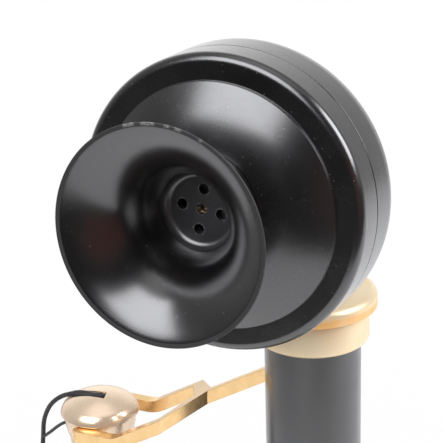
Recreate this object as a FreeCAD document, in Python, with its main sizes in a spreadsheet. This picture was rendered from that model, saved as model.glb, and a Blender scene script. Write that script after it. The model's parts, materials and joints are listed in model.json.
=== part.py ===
# Candlestick telephone with a dial in its foot: a round base, a stem with a brass collar,
# a tilting transmitter with a horn mouthpiece, and a receiver that hangs in a forked switch hook.
# Millimetres. +Z is up, the mouthpiece and the dial face -Y, the hook points to -X, and the
# origin is the middle of the underside, on the stem's axis.
import FreeCAD, Part
import math
import os
import re
import Sketcher

Vector = FreeCAD.Vector
X_AXIS = Vector(1, 0, 0)
Y_AXIS = Vector(0, 1, 0)
Z_AXIS = Vector(0, 0, 1)

doc = FreeCAD.newDocument("candlestick_telephone")
sheet = doc.addObject("Spreadsheet::Sheet", "Sheet")

# Driving dimensions, in millimetres and degrees.
SIZES = {
    # Fits, and how far a cut runs past the face that it opens
    "fit_clearance": 0.05, "plate_clearance": 0.3, "cut_over": 1, "arc_ease": 0.001,
    # Foot
    "felt_thickness": 2, "felt_inset": 1,
    "base_radius": 75, "base_rim_height": 9, "base_rim_round": 2.5, "base_step": 5, "base_wall": 3,
    "base_shoulder_radius": 48, "base_shoulder_height": 36, "base_shoulder_round": 34,
    "base_sweep_round": 57, "base_height": 58, "base_neck_height": 6, "base_neck_radius": 24,
    "hollow_shoulder_inset": 1.2, "plate_thickness": 2,
    "base_screw_inset": 13, "base_screw_radius": 2, "base_screw_head": 3.6, "base_screw_sink": 1.2,
    "base_screw_first": 90, "base_screw_length": 14, "base_boss_radius": 4.5, "base_boss_height": 20,
    # Stem and collar
    "stem_radius": 16, "stem_wall": 3, "stem_sink": 12,
    "foot_ring_radius": 22, "foot_ring_height": 5, "foot_ring_edge": 1.5, "foot_ring_round": 6,
    "collar_bottom": 219, "collar_band_radius": 18.7, "collar_band_height": 11, "collar_band_round": 1.6,
    "collar_groove_radius": 17.9, "collar_edge": 0.6, "collar_flange_radius": 21.3,
    "collar_flange_thickness": 5.8, "collar_flange_round": 2.6, "collar_height": 17.5,
    "collar_top_thickness": 6.2, "plug_height": 10,
    # Perch that carries the transmitter
    "pivot_rise": 65.9, "perch_foot_radius": 12, "perch_foot_height": 2, "perch_post_radius": 7,
    "perch_sweep_height": 8, "perch_sweep_round": 8.8, "perch_tail_radius": 3.9,
    "ear_width": 4.8, "ear_radius": 8, "lug_thickness": 8, "lug_clearance": 0.2, "slot_depth": 11,
    "pivot_radius": 2.5, "pivot_head_radius": 4.6, "pivot_head_height": 3,
    "pivot_nut_radius": 6, "pivot_nut_height": 6, "nut_flute_radius": 0.7,
    # Transmitter, measured forward from its pivot along its axis
    "transmitter_tilt": 2.2, "case_radius": 43, "case_wall": 1.5, "seam_reach": 57.6, "seam_gap": 0.3,
    "cup_side_reach": 50, "cup_back_reach": 22, "cup_back_radius": 14, "cup_round": 31,
    "face_reach": 68.6, "face_edge_round": 2.6, "band_width": 7.5, "dome_step": 0.8, "dome_round": 42,
    "dome_rise": 7.2, "neck_hole_radius": 14.6, "neck_clearance": 0.1,
    "lug_flange_radius": 12, "lug_flange_thickness": 3, "lug_arm_height": 12,
    "shoulder_radius": 17, "shoulder_thickness": 4.8, "lip_reach": 101.5, "lip_radius": 30.6,
    "lip_thickness": 1.2, "flare_round": 29, "flare_back_round": 33, "throat_radius": 11.2,
    "throat_reach": 77.7, "neck_length": 7, "neck_bore_radius": 8.5,
    "grille_reach": 75.5, "grille_radius": 11, "grille_thickness": 2.5, "grille_rim": 1.6,
    "grille_rim_round": 2.2, "grille_hole_circle": 5.9, "grille_hole_radius": 1.5, "grille_turn": 81.8,
    "diaphragm_margin": 5, "diaphragm_thickness": 0.6, "gasket_width": 3.5, "gasket_thickness": 2,
    "clamp_width": 7, "clamp_thickness": 2,
    "button_radius": 10, "button_length": 8, "button_case_length": 5.6, "button_front_radius": 6,
    "button_gap": 0.4, "stud_radius": 1.2, "stud_nut_radius": 2.4, "stud_nut": 1.6, "stud_stop": 0.8,
    "bridge_width": 12, "bridge_thickness": 3, "bridge_screw_radius": 2.2, "bridge_screw_head": 3.6,
    "bridge_screw_head_height": 2,
    # Switch hook, measured from the stem's axis and the collar's lower edge
    "hook_pivot_offset": 4, "hook_pivot_drop": 5, "hook_pin_radius": 1.5, "pin_proud": 0.5,
    "hook_tail": 5, "hook_slope": 30, "hook_half_height": 2.2, "hook_half_width": 1.5,
    "hook_bend_reach": 66, "hook_bend_round": 12, "hook_reach": 86, "fork_reach": 39, "fork_spread": 11,
    "fork_crotch": 6, "fork_half_gap": 13.2, "prong_width": 4, "hook_rise": 10, "slot_margin": 0.8,
    "slot_headroom": 4,
    "bracket_half_gap": 2.5, "bracket_wall": 1.5, "bracket_front": 3, "bracket_back": 11,
    "bracket_web_drop": 34, "bracket_cheek_drop": 12,
    "contact_block_height": 8, "contact_block_width": 7, "contact_block_depth": 6,
    "contact_leaf_thickness": 0.5, "contact_leaf_width": 5, "contact_leaf_height": 15,
    "contact_leaf_pitch": 1.5,
    # Receiver, measured down from the top of its tail
    "receiver_inset": 2.3, "hang_clearance": 0.3, "tail_radius": 14.3, "tail_dome_height": 7.5,
    "tail_shoulder_radius": 11.8, "tail_shoulder_drop": 3.2, "tail_shoulder_round": 5,
    "tail_dome_round": 23.6, "tail_edge": 0.5, "tail_seat": 8.6, "tail_bulge_radius": 12.8,
    "tail_bulge_round": 12, "tail_bulge_drop": 14.5, "tail_neck_radius": 11.2, "tail_length": 24,
    "receiver_straight": 6, "receiver_flare_round": 200, "receiver_mouth_radius": 26,
    "receiver_mouth": 112, "receiver_wall": 2.5, "receiver_thread": 4, "receiver_bore_top": 16,
    "ear_cap_radius": 29.5, "ear_cap_skirt": 6, "ear_cap_dish": 6, "ear_cap_round": 6.9,
    "ear_rim_radius": 23, "ear_dish_round": 60, "ear_hole_radius": 5, "ear_cap_length": 18,
    "ear_plate": 2.4, "ear_gap": 1, "ear_cap_edge": 1,
    "receiver_diaphragm_thickness": 0.5, "magnet_gap": 7, "magnet_bar": 4, "magnet_depth": 8,
    "magnet_bend": 6, "coil_radius": 5, "coil_length": 9, "coil_gap": 1,
    "sleeve_radius": 2, "sleeve_start": 3, "sleeve_length": 11, "sleeve_drop": 2.6, "sleeve_room": 0.3,
    "cord_radius": 1.1, "cord_lead_in": 10.4,
    # Dial, measured along its own axis from the front edge of its cup
    "dial_forward": 60, "dial_height": 42, "dial_lean": 45, "cup_radius": 36, "cup_cavity_radius": 33,
    "cup_depth": 25, "cup_cavity_depth": 18, "works_radius": 24, "works_depth": 32,
    "bezel_radius": 36.6, "bezel_inner": 32.4, "bezel_height": 2, "bezel_round": 1.6,
    "number_plate_sink": 4.2, "number_plate_thickness": 1, "wheel_radius": 31.4, "wheel_thickness": 1.6,
    "wheel_proud": 0.8, "finger_circle": 23.5, "finger_radius": 5.5, "finger_pitch": 30,
    "finger_first": 30, "shaft_radius": 2.5,
    "card_ring_radius": 13, "card_ring_height": 1.6, "card_ring_width": 1.8, "card_ring_edge": 0.64,
    "card_ring_round": 2.16, "card_thickness": 0.5,
    "stop_angle": 330, "stop_width": 4, "stop_inner": 19, "stop_thickness": 1.4, "stop_seat": 2.4,
    "frame_radius": 22, "frame_thickness": 2, "frame_sink": 17, "post_radius": 1.6, "post_circle": 19,
    "post_first": 90, "spring_case_radius": 11, "spring_case_height": 6,
    "governor_radius": 6, "governor_height": 9, "governor_edge": 1, "governor_offset": 14,
    "cam_radius": 7, "cam_thickness": 2, "cam_gap": 1.2, "cam_notch_radius": 4.2, "cam_notch_offset": 9.1,
    "pulse_leaf_length": 18, "pulse_leaf_thickness": 0.5, "pulse_leaf_width": 4, "pulse_leaf_gap": 1.2,
    # Works in the foot, and the two cord entries
    "coil_bobbin_radius": 11, "coil_bobbin_length": 44, "coil_core_radius": 4, "coil_core_length": 56,
    "coil_cheek": 3, "coil_cheek_step": 2, "coil_back": 36,
    "condenser_length": 42, "condenser_width": 16, "condenser_height": 20, "condenser_side": 30,
    "condenser_back": 18, "block_length": 16, "block_width": 34, "block_height": 9, "block_side": 34,
    "block_back": 22, "block_screw_radius": 2, "block_screw_pitch": 8, "block_screw_height": 2.5,
    "bushing_radius": 3, "bushing_flange": 4.2, "bushing_length": 9, "bushing_height": 7,
    "bushing_angle": 62, "gland_angle": 118, "bushing_tail": 3, "bushing_nose": 2.6,
    "gland_bore_radius": 2,
}
BASE_SCREWS = 3
NUT_FLUTES = 16
SOUND_HOLES = 4
CONTACT_LEAVES = 3
DIAL_POSTS = 3
FINGER_HOLES = 10
PULSE_LEAVES = 2
BLOCK_SCREWS = 4


def fill_sheet():
    """One row for each driving dimension: its name, and its value under that alias."""
    for row, (name, value) in enumerate(SIZES.items(), start=1):
        sheet.set(f"A{row}", name)
        sheet.set(f"B{row}", str(value))
        sheet.setAlias(f"B{row}", name)
    doc.recompute()


fill_sheet()
NAMES = re.compile(r"\b(" + "|".join(SIZES) + r")\b")


def linked(expression):
    """An expression in dimension names, written for objects other than the sheet."""
    return NAMES.sub(r"Sheet.\1", expression)


def value(expression):
    """The present value of an expression in dimension names."""
    return float(sheet.evalExpression(expression))


def bind(obj, **expressions):
    for name, expression in expressions.items():
        obj.setExpression(name, linked(expression))


def place(obj, x="0", y="0", z="0", axis=None, angle="0"):
    """Bind an object's place, and its turn about one axis."""
    if axis is not None:
        obj.Placement = FreeCAD.Placement(Vector(), FreeCAD.Rotation(axis, 90))
        obj.setExpression("Placement.Rotation.Angle", linked(angle))
    for name, expression in (("x", x), ("y", y), ("z", z)):
        obj.setExpression("Placement.Base." + name, linked(expression))
    return obj


pieces = []


def piece(obj, label):
    """Name an object as one of the telephone's pieces."""
    obj.Label = label
    pieces.append(obj)
    return obj


def cylinder(name, radius, height, x="0", y="0", z="0", axis=None, angle="0"):
    obj = doc.addObject("Part::Cylinder", name)
    bind(obj, Radius=radius, Height=height)
    return place(obj, x, y, z, axis, angle)


def crosswise(name, radius, length, x="0", y="0", z="0"):
    """A cylinder that lies along X, from its end at x."""
    return cylinder(name, radius, length, x, y, z, Y_AXIS, "90")


def box(name, length, width, height, x="0", y="0", z="0"):
    obj = doc.addObject("Part::Box", name)
    bind(obj, Length=length, Width=width, Height=height)
    return place(obj, x, y, z)


def centred_box(name, length, width, height, x="0", y="0", z="0"):
    """A box that is centred on x and y and stands on z."""
    return box(name, length, width, height, f"({x}) - ({length})/2", f"({y}) - ({width})/2", z)


def cut(name, base, *tools):
    tool = tools[0] if len(tools) == 1 else fuse(name + "_tools", *tools)
    obj = doc.addObject("Part::Cut", name)
    obj.Base = base
    obj.Tool = tool
    return obj


def fuse(name, *shapes):
    obj = doc.addObject("Part::MultiFuse", name)
    obj.Shapes = list(shapes)
    return obj


def common(name, first, second):
    obj = doc.addObject("Part::Common", name)
    obj.Base = first
    obj.Tool = second
    return obj


def group(name, *shapes):
    """Separate solids that share one node."""
    obj = doc.addObject("Part::Compound", name)
    obj.Links = list(shapes)
    return obj


def arc_between(start, end, radius, side):
    """The short arc from start to end, with its centre on the left (+1) or on the right (-1)."""
    chord = end - start
    middle = (start + end) * 0.5
    left = Vector(-chord.y, chord.x, 0).normalize()
    centre = middle + left * (side * math.sqrt(radius ** 2 - (chord.Length / 2) ** 2))
    circle = Part.Circle(centre, Z_AXIS, radius)
    first, last = (start, end) if side > 0 else (end, start)
    angles = [math.atan2(p.y - centre.y, p.x - centre.x) for p in (first, last)]
    if angles[1] < angles[0]:
        angles[1] += 2 * math.pi
    return Part.ArcOfCircle(circle, angles[0], angles[1])


def draw(sketch, outline):
    """Draw a closed outline. A point is (x, y), or (x, y, radius, side) where an arc leads to it."""
    corners = [Vector(value(point[0]), value(point[1]), 0) for point in outline]
    starts = []
    for index, point in enumerate(outline):
        start, end = corners[index - 1], corners[index]
        if len(point) == 2:
            sketch.addGeometry(Part.LineSegment(start, end))
            starts.append((1, 2))
        else:
            sketch.addGeometry(arc_between(start, end, value(point[2]), point[3]))
            starts.append((1, 2) if point[3] > 0 else (2, 1))
    count = len(outline)
    for index, point in enumerate(outline):
        after = (index + 1) % count
        end = starts[index][1]
        sketch.addConstraint(Sketcher.Constraint("Coincident", index, end, after, starts[after][0]))
        for kind, axis, expression in (("DistanceX", -2, point[0]), ("DistanceY", -1, point[1])):
            if expression == "0":
                sketch.addConstraint(Sketcher.Constraint("PointOnObject", index, end, axis))
            else:
                distance = Sketcher.Constraint(kind, -1, 1, index, end, value(expression))
                number = sketch.addConstraint(distance)
                sketch.setExpression(f"Constraints[{number}]", linked(expression))
        if len(point) > 2:
            number = sketch.addConstraint(Sketcher.Constraint("Radius", index, value(point[2])))
            sketch.setExpression(f"Constraints[{number}]", linked(point[2]))


def turned(name, outline):
    """A body turned about its own Z axis from an outline of (radius, height)."""
    body = doc.addObject("PartDesign::Body", name)
    sketch = body.newObject("Sketcher::SketchObject", name + "_outline")
    plane = [feature for feature in body.Origin.OriginFeatures if feature.Role == "XZ_Plane"][0]
    sketch.AttachmentSupport = [(plane, "")]
    sketch.MapMode = "FlatFace"
    draw(sketch, outline)
    turn = body.newObject("PartDesign::Revolution", name + "_turn")
    turn.Profile = sketch
    turn.ReferenceAxis = (sketch, ["V_Axis"])
    turn.Angle = 360
    return body


def ring(name, outer, inner, bottom, top):
    return turned(name, [(inner, bottom), (outer, bottom), (outer, top), (inner, top)])


def disc(name, radius, bottom, top):
    return turned(name, [("0", bottom), (radius, bottom), (radius, top), ("0", top)])


def slab(name, outline, thickness, upright):
    """An outline made into a plate, as thick on both sides of its plane."""
    sketch = doc.addObject("Sketcher::SketchObject", name + "_outline")
    if upright:
        sketch.Placement = FreeCAD.Placement(Vector(), FreeCAD.Rotation(X_AXIS, 90))
    draw(sketch, outline)
    plate = doc.addObject("Part::Extrusion", name)
    plate.Base = sketch
    plate.DirMode = "Normal"
    plate.Solid = True
    plate.Symmetric = True
    bind(plate, LengthFwd=thickness)
    return plate


def around(name, count, make, first="0", pitch=None):
    """Copies of a shape in a ring. make(name, angle) makes the shape at an angle."""
    step = pitch or str(360 / count)
    return [make(f"{name}_{index}", f"({first}) + {index}*({step})") for index in range(count)]


# Places and sizes that several pieces share.
PIVOT_Z = "(collar_bottom + pivot_rise)"
COLLAR_TOP = "(collar_bottom + collar_height)"
STEM_BORE = "(stem_radius - stem_wall)"
BASE_BORE = "(stem_radius + fit_clearance)"
PLATE_TOP = "(felt_thickness + plate_thickness)"
SCREW_CIRCLE = "(base_radius - base_screw_inset)"
DIAPHRAGM_RADIUS = "(case_radius - diaphragm_margin)"
DOME_RADIUS = "(case_radius - band_width)"
HOOK_LEVEL = ("(-hook_pivot_drop - (hook_bend_reach + hook_pivot_offset)*tan(hook_slope)"
              " - hook_bend_round*(1 - cos(hook_slope)))")
RECEIVER_REACH = "(hook_reach - receiver_inset)"
RECEIVER_TOP = f"(collar_bottom + {HOOK_LEVEL} + hook_half_height + hang_clearance + tail_seat)"


def aim(obj):
    """Set a transmitter piece on the pivot, with its Z axis along the transmitter's axis."""
    return place(obj, z=PIVOT_Z, axis=X_AXIS, angle="90 - transmitter_tilt")


def hang(obj):
    """Set a receiver piece on the receiver's axis, with z 0 at the top of its tail."""
    return place(obj, x=f"-{RECEIVER_REACH}", z=RECEIVER_TOP)


def face_dial(obj):
    """Set a dial piece on the dial's axis, with its Z axis out of the dial."""
    return place(obj, y="-dial_forward", z="dial_height", axis=X_AXIS, angle="90 - dial_lean")


def along_dial(name, radius, bottom, top):
    """A cylinder on the dial's axis between two heights over the front edge of the cup."""
    forward = f"-dial_forward - ({bottom})*cos(dial_lean)"
    height = f"dial_height + ({bottom})*sin(dial_lean)"
    return cylinder(name, radius, f"({top}) - ({bottom})", "0", forward, height, X_AXIS, "90 - dial_lean")


def make_foot():
    """The felt, the bottom plate with its screws, and the cast foot with the cup for the dial."""
    piece(disc("felt", "base_radius - felt_inset", "0", "felt_thickness"), "felt_pad")

    def spot(name, angle, radius, bottom, height):
        return cylinder(name, radius, height, f"{SCREW_CIRCLE}*cos({angle})",
                        f"{SCREW_CIRCLE}*sin({angle})", bottom)

    def boss(name, angle):
        return spot(name, angle, "base_boss_radius", PLATE_TOP, "base_boss_height")

    def shank(name, angle):
        return spot(name, angle, "base_screw_radius", "felt_thickness", "base_screw_length")

    def head(name, angle):
        return spot(name, angle, "base_screw_head", "felt_thickness", "base_screw_sink")

    def screw_ring(name, make):
        return around(name, BASE_SCREWS, make, "base_screw_first")

    inside = "(base_radius - base_wall)"
    plate = disc("plate_disc", f"{inside} - plate_clearance", "felt_thickness", PLATE_TOP)
    holes = screw_ring("plate_hole", shank) + screw_ring("plate_sink", head)
    piece(cut("plate", plate, *holes), "base_plate")
    shanks = screw_ring("screw_shank", shank)
    heads = screw_ring("screw_head", head)
    screws = [fuse(f"base_screw_{i}", shanks[i], heads[i]) for i in range(BASE_SCREWS)]
    piece(group("base_screw_set", *screws), "base_screws")

    rim_top = "(base_rim_height + base_rim_round)"
    outer = turned("foot_outer", [
        ("0", "felt_thickness"), ("base_radius", "felt_thickness"), ("base_radius", "base_rim_height"),
        ("base_radius - base_rim_round", rim_top, "base_rim_round", 1),
        ("base_radius - base_step", rim_top),
        ("base_shoulder_radius", "base_shoulder_height", "base_shoulder_round", 1),
        ("base_neck_radius", "base_height - base_neck_height", "base_sweep_round", -1),
        ("base_neck_radius", "base_height"), ("0", "base_height")])
    ceiling = "base_height - stem_sink"
    hollow = turned("foot_hollow", [
        ("0", "0"), (inside, "0"), (inside, f"{rim_top} - base_wall"),
        (f"{inside} - base_step", f"{rim_top} - base_wall"), (f"{inside} - base_step", rim_top),
        ("base_shoulder_radius - hollow_shoulder_inset", "base_shoulder_height - base_wall",
         "base_shoulder_round - base_wall", 1),
        ("base_neck_radius", ceiling, "base_sweep_round + base_wall", -1), ("0", ceiling)])
    cup = along_dial("dial_cup", "cup_radius", "-cup_depth", "0")
    cavity = along_dial("dial_cavity", "cup_cavity_radius", "-cup_cavity_depth", "cut_over")
    works = along_dial("dial_works_room", "works_radius", "-works_depth", "-cup_cavity_depth + cut_over")
    stem_hole = cylinder("foot_stem_hole", BASE_BORE, "base_height")
    below = cylinder("foot_below", "2*base_radius", "base_height", z="felt_thickness - base_height")
    shell = cut("foot_shell", fuse("foot_form", outer, cup), hollow, cavity, works, stem_hole, below)
    lugs = common("foot_bosses", fuse("foot_boss_set", *screw_ring("foot_boss", boss)), outer)
    drilled = cut("foot_drilled", fuse("foot_whole", shell, lugs), *screw_ring("foot_tapped", shank))
    entries = [cord_entry("entry_receiver", "bushing_angle"), cord_entry("entry_line", "gland_angle")]
    piece(cut("foot", drilled, *entries), "base_shell")


def turn_out(obj, angle):
    """Lay an upright shape down, so that its Z axis points away from the stem at an angle."""
    obj.setExpression("Placement.Rotation.Yaw", linked(angle))
    obj.setExpression("Placement.Rotation.Pitch", "90")
    obj.setExpression("Placement.Rotation.Roll", "0")
    return obj


def cord_entry(name, angle):
    """A round hole through the rim of the foot."""
    inside = "(base_radius - base_wall - bushing_length)"
    hole = cylinder(name, "bushing_radius", "bushing_length*2", f"{inside}*cos({angle})",
                    f"{inside}*sin({angle})", "bushing_height")
    return turn_out(hole, angle)


def make_cord_entries():
    """A rubber bushing for the receiver's cord and a gland for the line, both through the rim."""
    for label, angle, bore in (("receiver_cord_bushing", "bushing_angle", "cord_radius"),
                               ("line_gland", "gland_angle", "gland_bore_radius")):
        start = "(base_radius - base_wall - bushing_tail)"
        face = "(base_wall + bushing_tail)"
        grommet = turned(label + "_body", [
            (bore, "0"), ("bushing_radius", "0"), ("bushing_radius", face), ("bushing_flange", face),
            ("bushing_nose", f"{face} + bushing_length"), (bore, f"{face} + bushing_length")])
        place(grommet, f"{start}*cos({angle})", f"{start}*sin({angle})", "bushing_height")
        piece(turn_out(grommet, angle), label)


def make_stem():
    """The stem tube with its slot for the hook, the rings at its foot and top, and the plug in its end."""
    tube = ring("stem", "stem_radius", STEM_BORE, "base_height - stem_sink", "collar_bottom + plug_height")
    lever = "(stem_radius + hook_pivot_offset)"
    bar = "(hook_half_height/cos(hook_slope))"
    below = f"(hook_pivot_drop + {lever}*tan(hook_slope) + {bar} + slot_margin)"
    tall = f"{lever}*tan(hook_rise) + 2*{bar} + slot_headroom"
    slot = centred_box("hook_slot", "stem_wall + 2*cut_over", "2*(hook_half_width + slot_margin)", tall,
                       "-stem_radius + stem_wall/2", "0", f"collar_bottom - {below}")
    piece(cut("stem_slotted", tube, slot), "stem_tube")
    piece(turned("foot_ring", [
        (BASE_BORE, "base_height"), ("foot_ring_radius", "base_height"),
        ("foot_ring_radius", "base_height + foot_ring_height/2"),
        ("stem_radius + foot_ring_edge", "base_height + foot_ring_height", "foot_ring_round", 1),
        (BASE_BORE, "base_height + foot_ring_height")]), "stem_foot_ring")
    piece(ring("plug", f"{STEM_BORE} - fit_clearance", "perch_tail_radius", "collar_bottom",
               "collar_bottom + plug_height"), "stem_plug")
    under_flange = f"({COLLAR_TOP} - collar_flange_thickness)"
    ceiling = f"({COLLAR_TOP} - collar_top_thickness)"
    piece(turned("collar_cap", [
        (BASE_BORE, "collar_bottom"), ("collar_band_radius - collar_band_round", "collar_bottom"),
        ("collar_band_radius", "collar_bottom + collar_band_round", "collar_band_round", 1),
        ("collar_band_radius", "collar_bottom + collar_band_height"),
        ("collar_groove_radius", "collar_bottom + collar_band_height"),
        ("collar_groove_radius", under_flange), ("collar_flange_radius - collar_edge", under_flange),
        ("collar_flange_radius", f"{under_flange} + collar_edge", "collar_edge", 1),
        ("collar_flange_radius", f"{COLLAR_TOP} - collar_flange_round"),
        ("collar_flange_radius - collar_flange_round", COLLAR_TOP, "collar_flange_round", 1),
        ("perch_tail_radius", COLLAR_TOP), ("perch_tail_radius", ceiling), (BASE_BORE, ceiling)]), "collar")


def make_perch():
    """The forked post on the collar, and the screw and knurled nut that hold the transmitter in it."""
    half = "(lug_thickness/2 + lug_clearance + ear_width)"
    slot_floor = f"({PIVOT_Z} - slot_depth)"
    foot_top = f"({COLLAR_TOP} + perch_foot_height)"
    post = turned("perch_turned", [
        ("0", "collar_bottom"), ("perch_tail_radius", "collar_bottom"), ("perch_tail_radius", COLLAR_TOP),
        ("perch_foot_radius", COLLAR_TOP), ("perch_foot_radius", foot_top),
        ("perch_post_radius", f"{COLLAR_TOP} + perch_sweep_height", "perch_sweep_round", -1),
        ("perch_post_radius", PIVOT_Z), ("0", PIVOT_Z)])
    ears = crosswise("perch_ears", "ear_radius", f"2*{half}", f"-{half}", "0", PIVOT_Z)
    shoulders = centred_box("perch_shoulders", f"2*{half}", "2*ear_radius", "slot_depth + ear_width",
                            z=f"{slot_floor} - ear_width")
    gap = centred_box("perch_gap", "lug_thickness + 2*lug_clearance", "4*ear_radius",
                      "slot_depth + 2*ear_radius", z=slot_floor)
    bore = crosswise("perch_bore", "pivot_radius", f"4*{half}", f"-2*{half}", "0", PIVOT_Z)
    piece(cut("perch", fuse("perch_solid", post, ears, shoulders), gap, bore), "perch_post")

    nut_end = f"-{half} - pivot_nut_height"
    shank = crosswise("pivot_shank", "pivot_radius", f"2*{half} + pivot_nut_height", nut_end, "0", PIVOT_Z)
    head = crosswise("pivot_head", "pivot_head_radius", "pivot_head_height", half, "0", PIVOT_Z)
    piece(fuse("pivot", shank, head), "pivot_screw")
    through = "pivot_nut_height + 2*cut_over"
    nut = crosswise("nut_body", "pivot_nut_radius", "pivot_nut_height", nut_end, "0", PIVOT_Z)
    thread = crosswise("nut_thread", "pivot_radius", through, f"{nut_end} - cut_over", "0", PIVOT_Z)

    def flute(name, angle):
        return crosswise(name, "nut_flute_radius", through, f"{nut_end} - cut_over",
                         f"pivot_nut_radius*cos({angle})", f"{PIVOT_Z} + pivot_nut_radius*sin({angle})")

    piece(cut("nut", nut, thread, *around("nut_flute", NUT_FLUTES, flute)), "pivot_nut")


def make_transmitter():
    """The tilting transmitter: lug, back cup, domed face, horn, grille and the carbon button behind it."""
    flange_back = "cup_back_reach - lug_flange_thickness"
    eye = crosswise("lug_eye", "ear_radius", "lug_thickness", "-lug_thickness/2")
    arm = centred_box("lug_arm", "lug_thickness", "lug_arm_height", flange_back)
    flange = cylinder("lug_flange", "lug_flange_radius", "lug_flange_thickness", z=flange_back)
    bore = crosswise("lug_bore", "pivot_radius + fit_clearance", "4*lug_thickness", "-2*lug_thickness")
    piece(aim(cut("lug", fuse("lug_solid", eye, arm, flange), bore)), "transmitter_lug")

    inner_case = "(case_radius - case_wall)"
    piece(aim(turned("cup", [
        ("0", "cup_back_reach"), ("cup_back_radius", "cup_back_reach"),
        ("case_radius", "cup_side_reach", "cup_round", 1), ("case_radius", "seam_reach - seam_gap"),
        (inner_case, "seam_reach - seam_gap"), (inner_case, "cup_side_reach"),
        ("cup_back_radius", "cup_back_reach + case_wall", "cup_round - case_wall", -1),
        ("0", "cup_back_reach + case_wall")])), "back_cup")

    seat = "(face_reach - case_wall)"
    dome_top = "(face_reach + dome_rise)"
    dome_inner = f"({DOME_RADIUS} - case_wall)"
    piece(aim(turned("face", [
        (inner_case, "seam_reach"), ("case_radius", "seam_reach"),
        ("case_radius", "face_reach - face_edge_round"),
        ("case_radius - face_edge_round", "face_reach", "face_edge_round", 1), (DOME_RADIUS, "face_reach"),
        (DOME_RADIUS, "face_reach + dome_step"), ("neck_hole_radius", dome_top, "dome_round", 1),
        ("neck_hole_radius", f"{dome_top} - case_wall"),
        (dome_inner, f"{seat} + dome_step", "dome_round - case_wall", -1),
        (dome_inner, seat), (inner_case, seat)])), "faceplate")

    shoulder = f"({dome_top} + neck_clearance)"
    neck_end = f"{shoulder} - neck_length"
    neck = "neck_hole_radius - neck_clearance"
    ledge = "(grille_reach - grille_thickness)"
    piece(aim(turned("horn", [
        ("neck_bore_radius", neck_end), (neck, neck_end), (neck, shoulder), ("shoulder_radius", shoulder),
        ("shoulder_radius", f"{shoulder} + shoulder_thickness"),
        ("lip_radius", "lip_reach - lip_thickness", "flare_back_round", -1),
        ("lip_radius - lip_thickness", "lip_reach", "lip_thickness", 1),
        ("throat_radius", "throat_reach", "flare_round", 1), ("throat_radius", ledge),
        ("neck_bore_radius", ledge)])), "mouthpiece")

    rim_width = "sqrt(grille_rim*(2*grille_rim_round - grille_rim))"
    plate = turned("grille_disc", [
        ("0", ledge), ("grille_radius", ledge), ("grille_radius", "grille_reach + grille_rim"),
        (f"grille_radius - {rim_width}", "grille_reach", "grille_rim_round", -1), ("0", "grille_reach")])
    through = "grille_thickness + 2*cut_over"

    def sound_hole(name, angle):
        return cylinder(name, "grille_hole_radius", through, f"grille_hole_circle*cos({angle})",
                        f"grille_hole_circle*sin({angle})", f"{ledge} - cut_over")

    middle = cylinder("grille_middle", "grille_hole_radius", through, z=f"{ledge} - cut_over")
    holes = around("grille_hole", SOUND_HOLES, sound_hole, "grille_turn")
    piece(aim(cut("grille", plate, middle, *holes)), "mouth_grille")

    sheet_front = f"({seat} - gasket_thickness)"
    sheet_back = f"({sheet_front} - diaphragm_thickness)"
    clamp_back = f"({sheet_back} - clamp_thickness)"
    clamp_bore = f"{DIAPHRAGM_RADIUS} - clamp_width"
    gasket_bore = f"{DIAPHRAGM_RADIUS} - gasket_width"
    piece(aim(ring("gasket", DIAPHRAGM_RADIUS, gasket_bore, sheet_front, seat)), "diaphragm_gasket")
    piece(aim(ring("front_sheet", DIAPHRAGM_RADIUS, "stud_radius", sheet_back, sheet_front)), "diaphragm")
    piece(aim(ring("clamp", f"{inner_case} - plate_clearance", clamp_bore, clamp_back, sheet_back)),
          "clamp_ring")
    bridge_front = f"({sheet_back} - button_gap - button_length)"
    step = f"{bridge_front} + button_case_length"
    button_end = f"{bridge_front} + button_length"
    piece(aim(turned("button", [
        ("0", bridge_front), ("button_radius", bridge_front), ("button_radius", step),
        ("button_front_radius", step), ("button_front_radius", button_end), ("0", button_end)])),
        "carbon_button")
    nut_front = f"{ledge} - stud_stop"
    nut_back = f"{nut_front} - stud_nut"
    piece(aim(turned("stud", [
        ("0", button_end), ("stud_radius", button_end), ("stud_radius", nut_back),
        ("stud_nut_radius", nut_back), ("stud_nut_radius", nut_front), ("0", nut_front)])), "button_stud")

    half_bridge = f"({DIAPHRAGM_RADIUS} - clamp_width/2)"
    bridge_back = f"{bridge_front} - bridge_thickness"
    leg_length = f"{clamp_back} - {bridge_front}"
    bar = centred_box("bridge_bar", f"2*{half_bridge} + 2*bridge_screw_head", "bridge_width",
                      "bridge_thickness", z=bridge_back)
    legs = []
    holes = []
    screws = []
    for name, side in (("left", "-1"), ("right", "1")):
        x = f"{side}*{half_bridge}"
        legs.append(cylinder(f"bridge_leg_{name}", "bridge_screw_head", leg_length, x, "0", bridge_front))
        hole, shank = [cylinder(f"bridge_{kind}_{name}", "bridge_screw_radius",
                                f"{leg_length} + bridge_thickness", x, "0", bridge_back)
                       for kind in ("hole", "shank")]
        head = cylinder(f"bridge_head_{name}", "bridge_screw_head", "bridge_screw_head_height", x, "0",
                        f"{bridge_back} - bridge_screw_head_height")
        holes.append(hole)
        screws.append(fuse(f"bridge_screw_{name}", shank, head))
    piece(aim(cut("bridge_whole", fuse("bridge_solid", bar, *legs), *holes)), "button_bridge")
    piece(aim(group("bridge_screw_set", *screws)), "bridge_screws")


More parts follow.
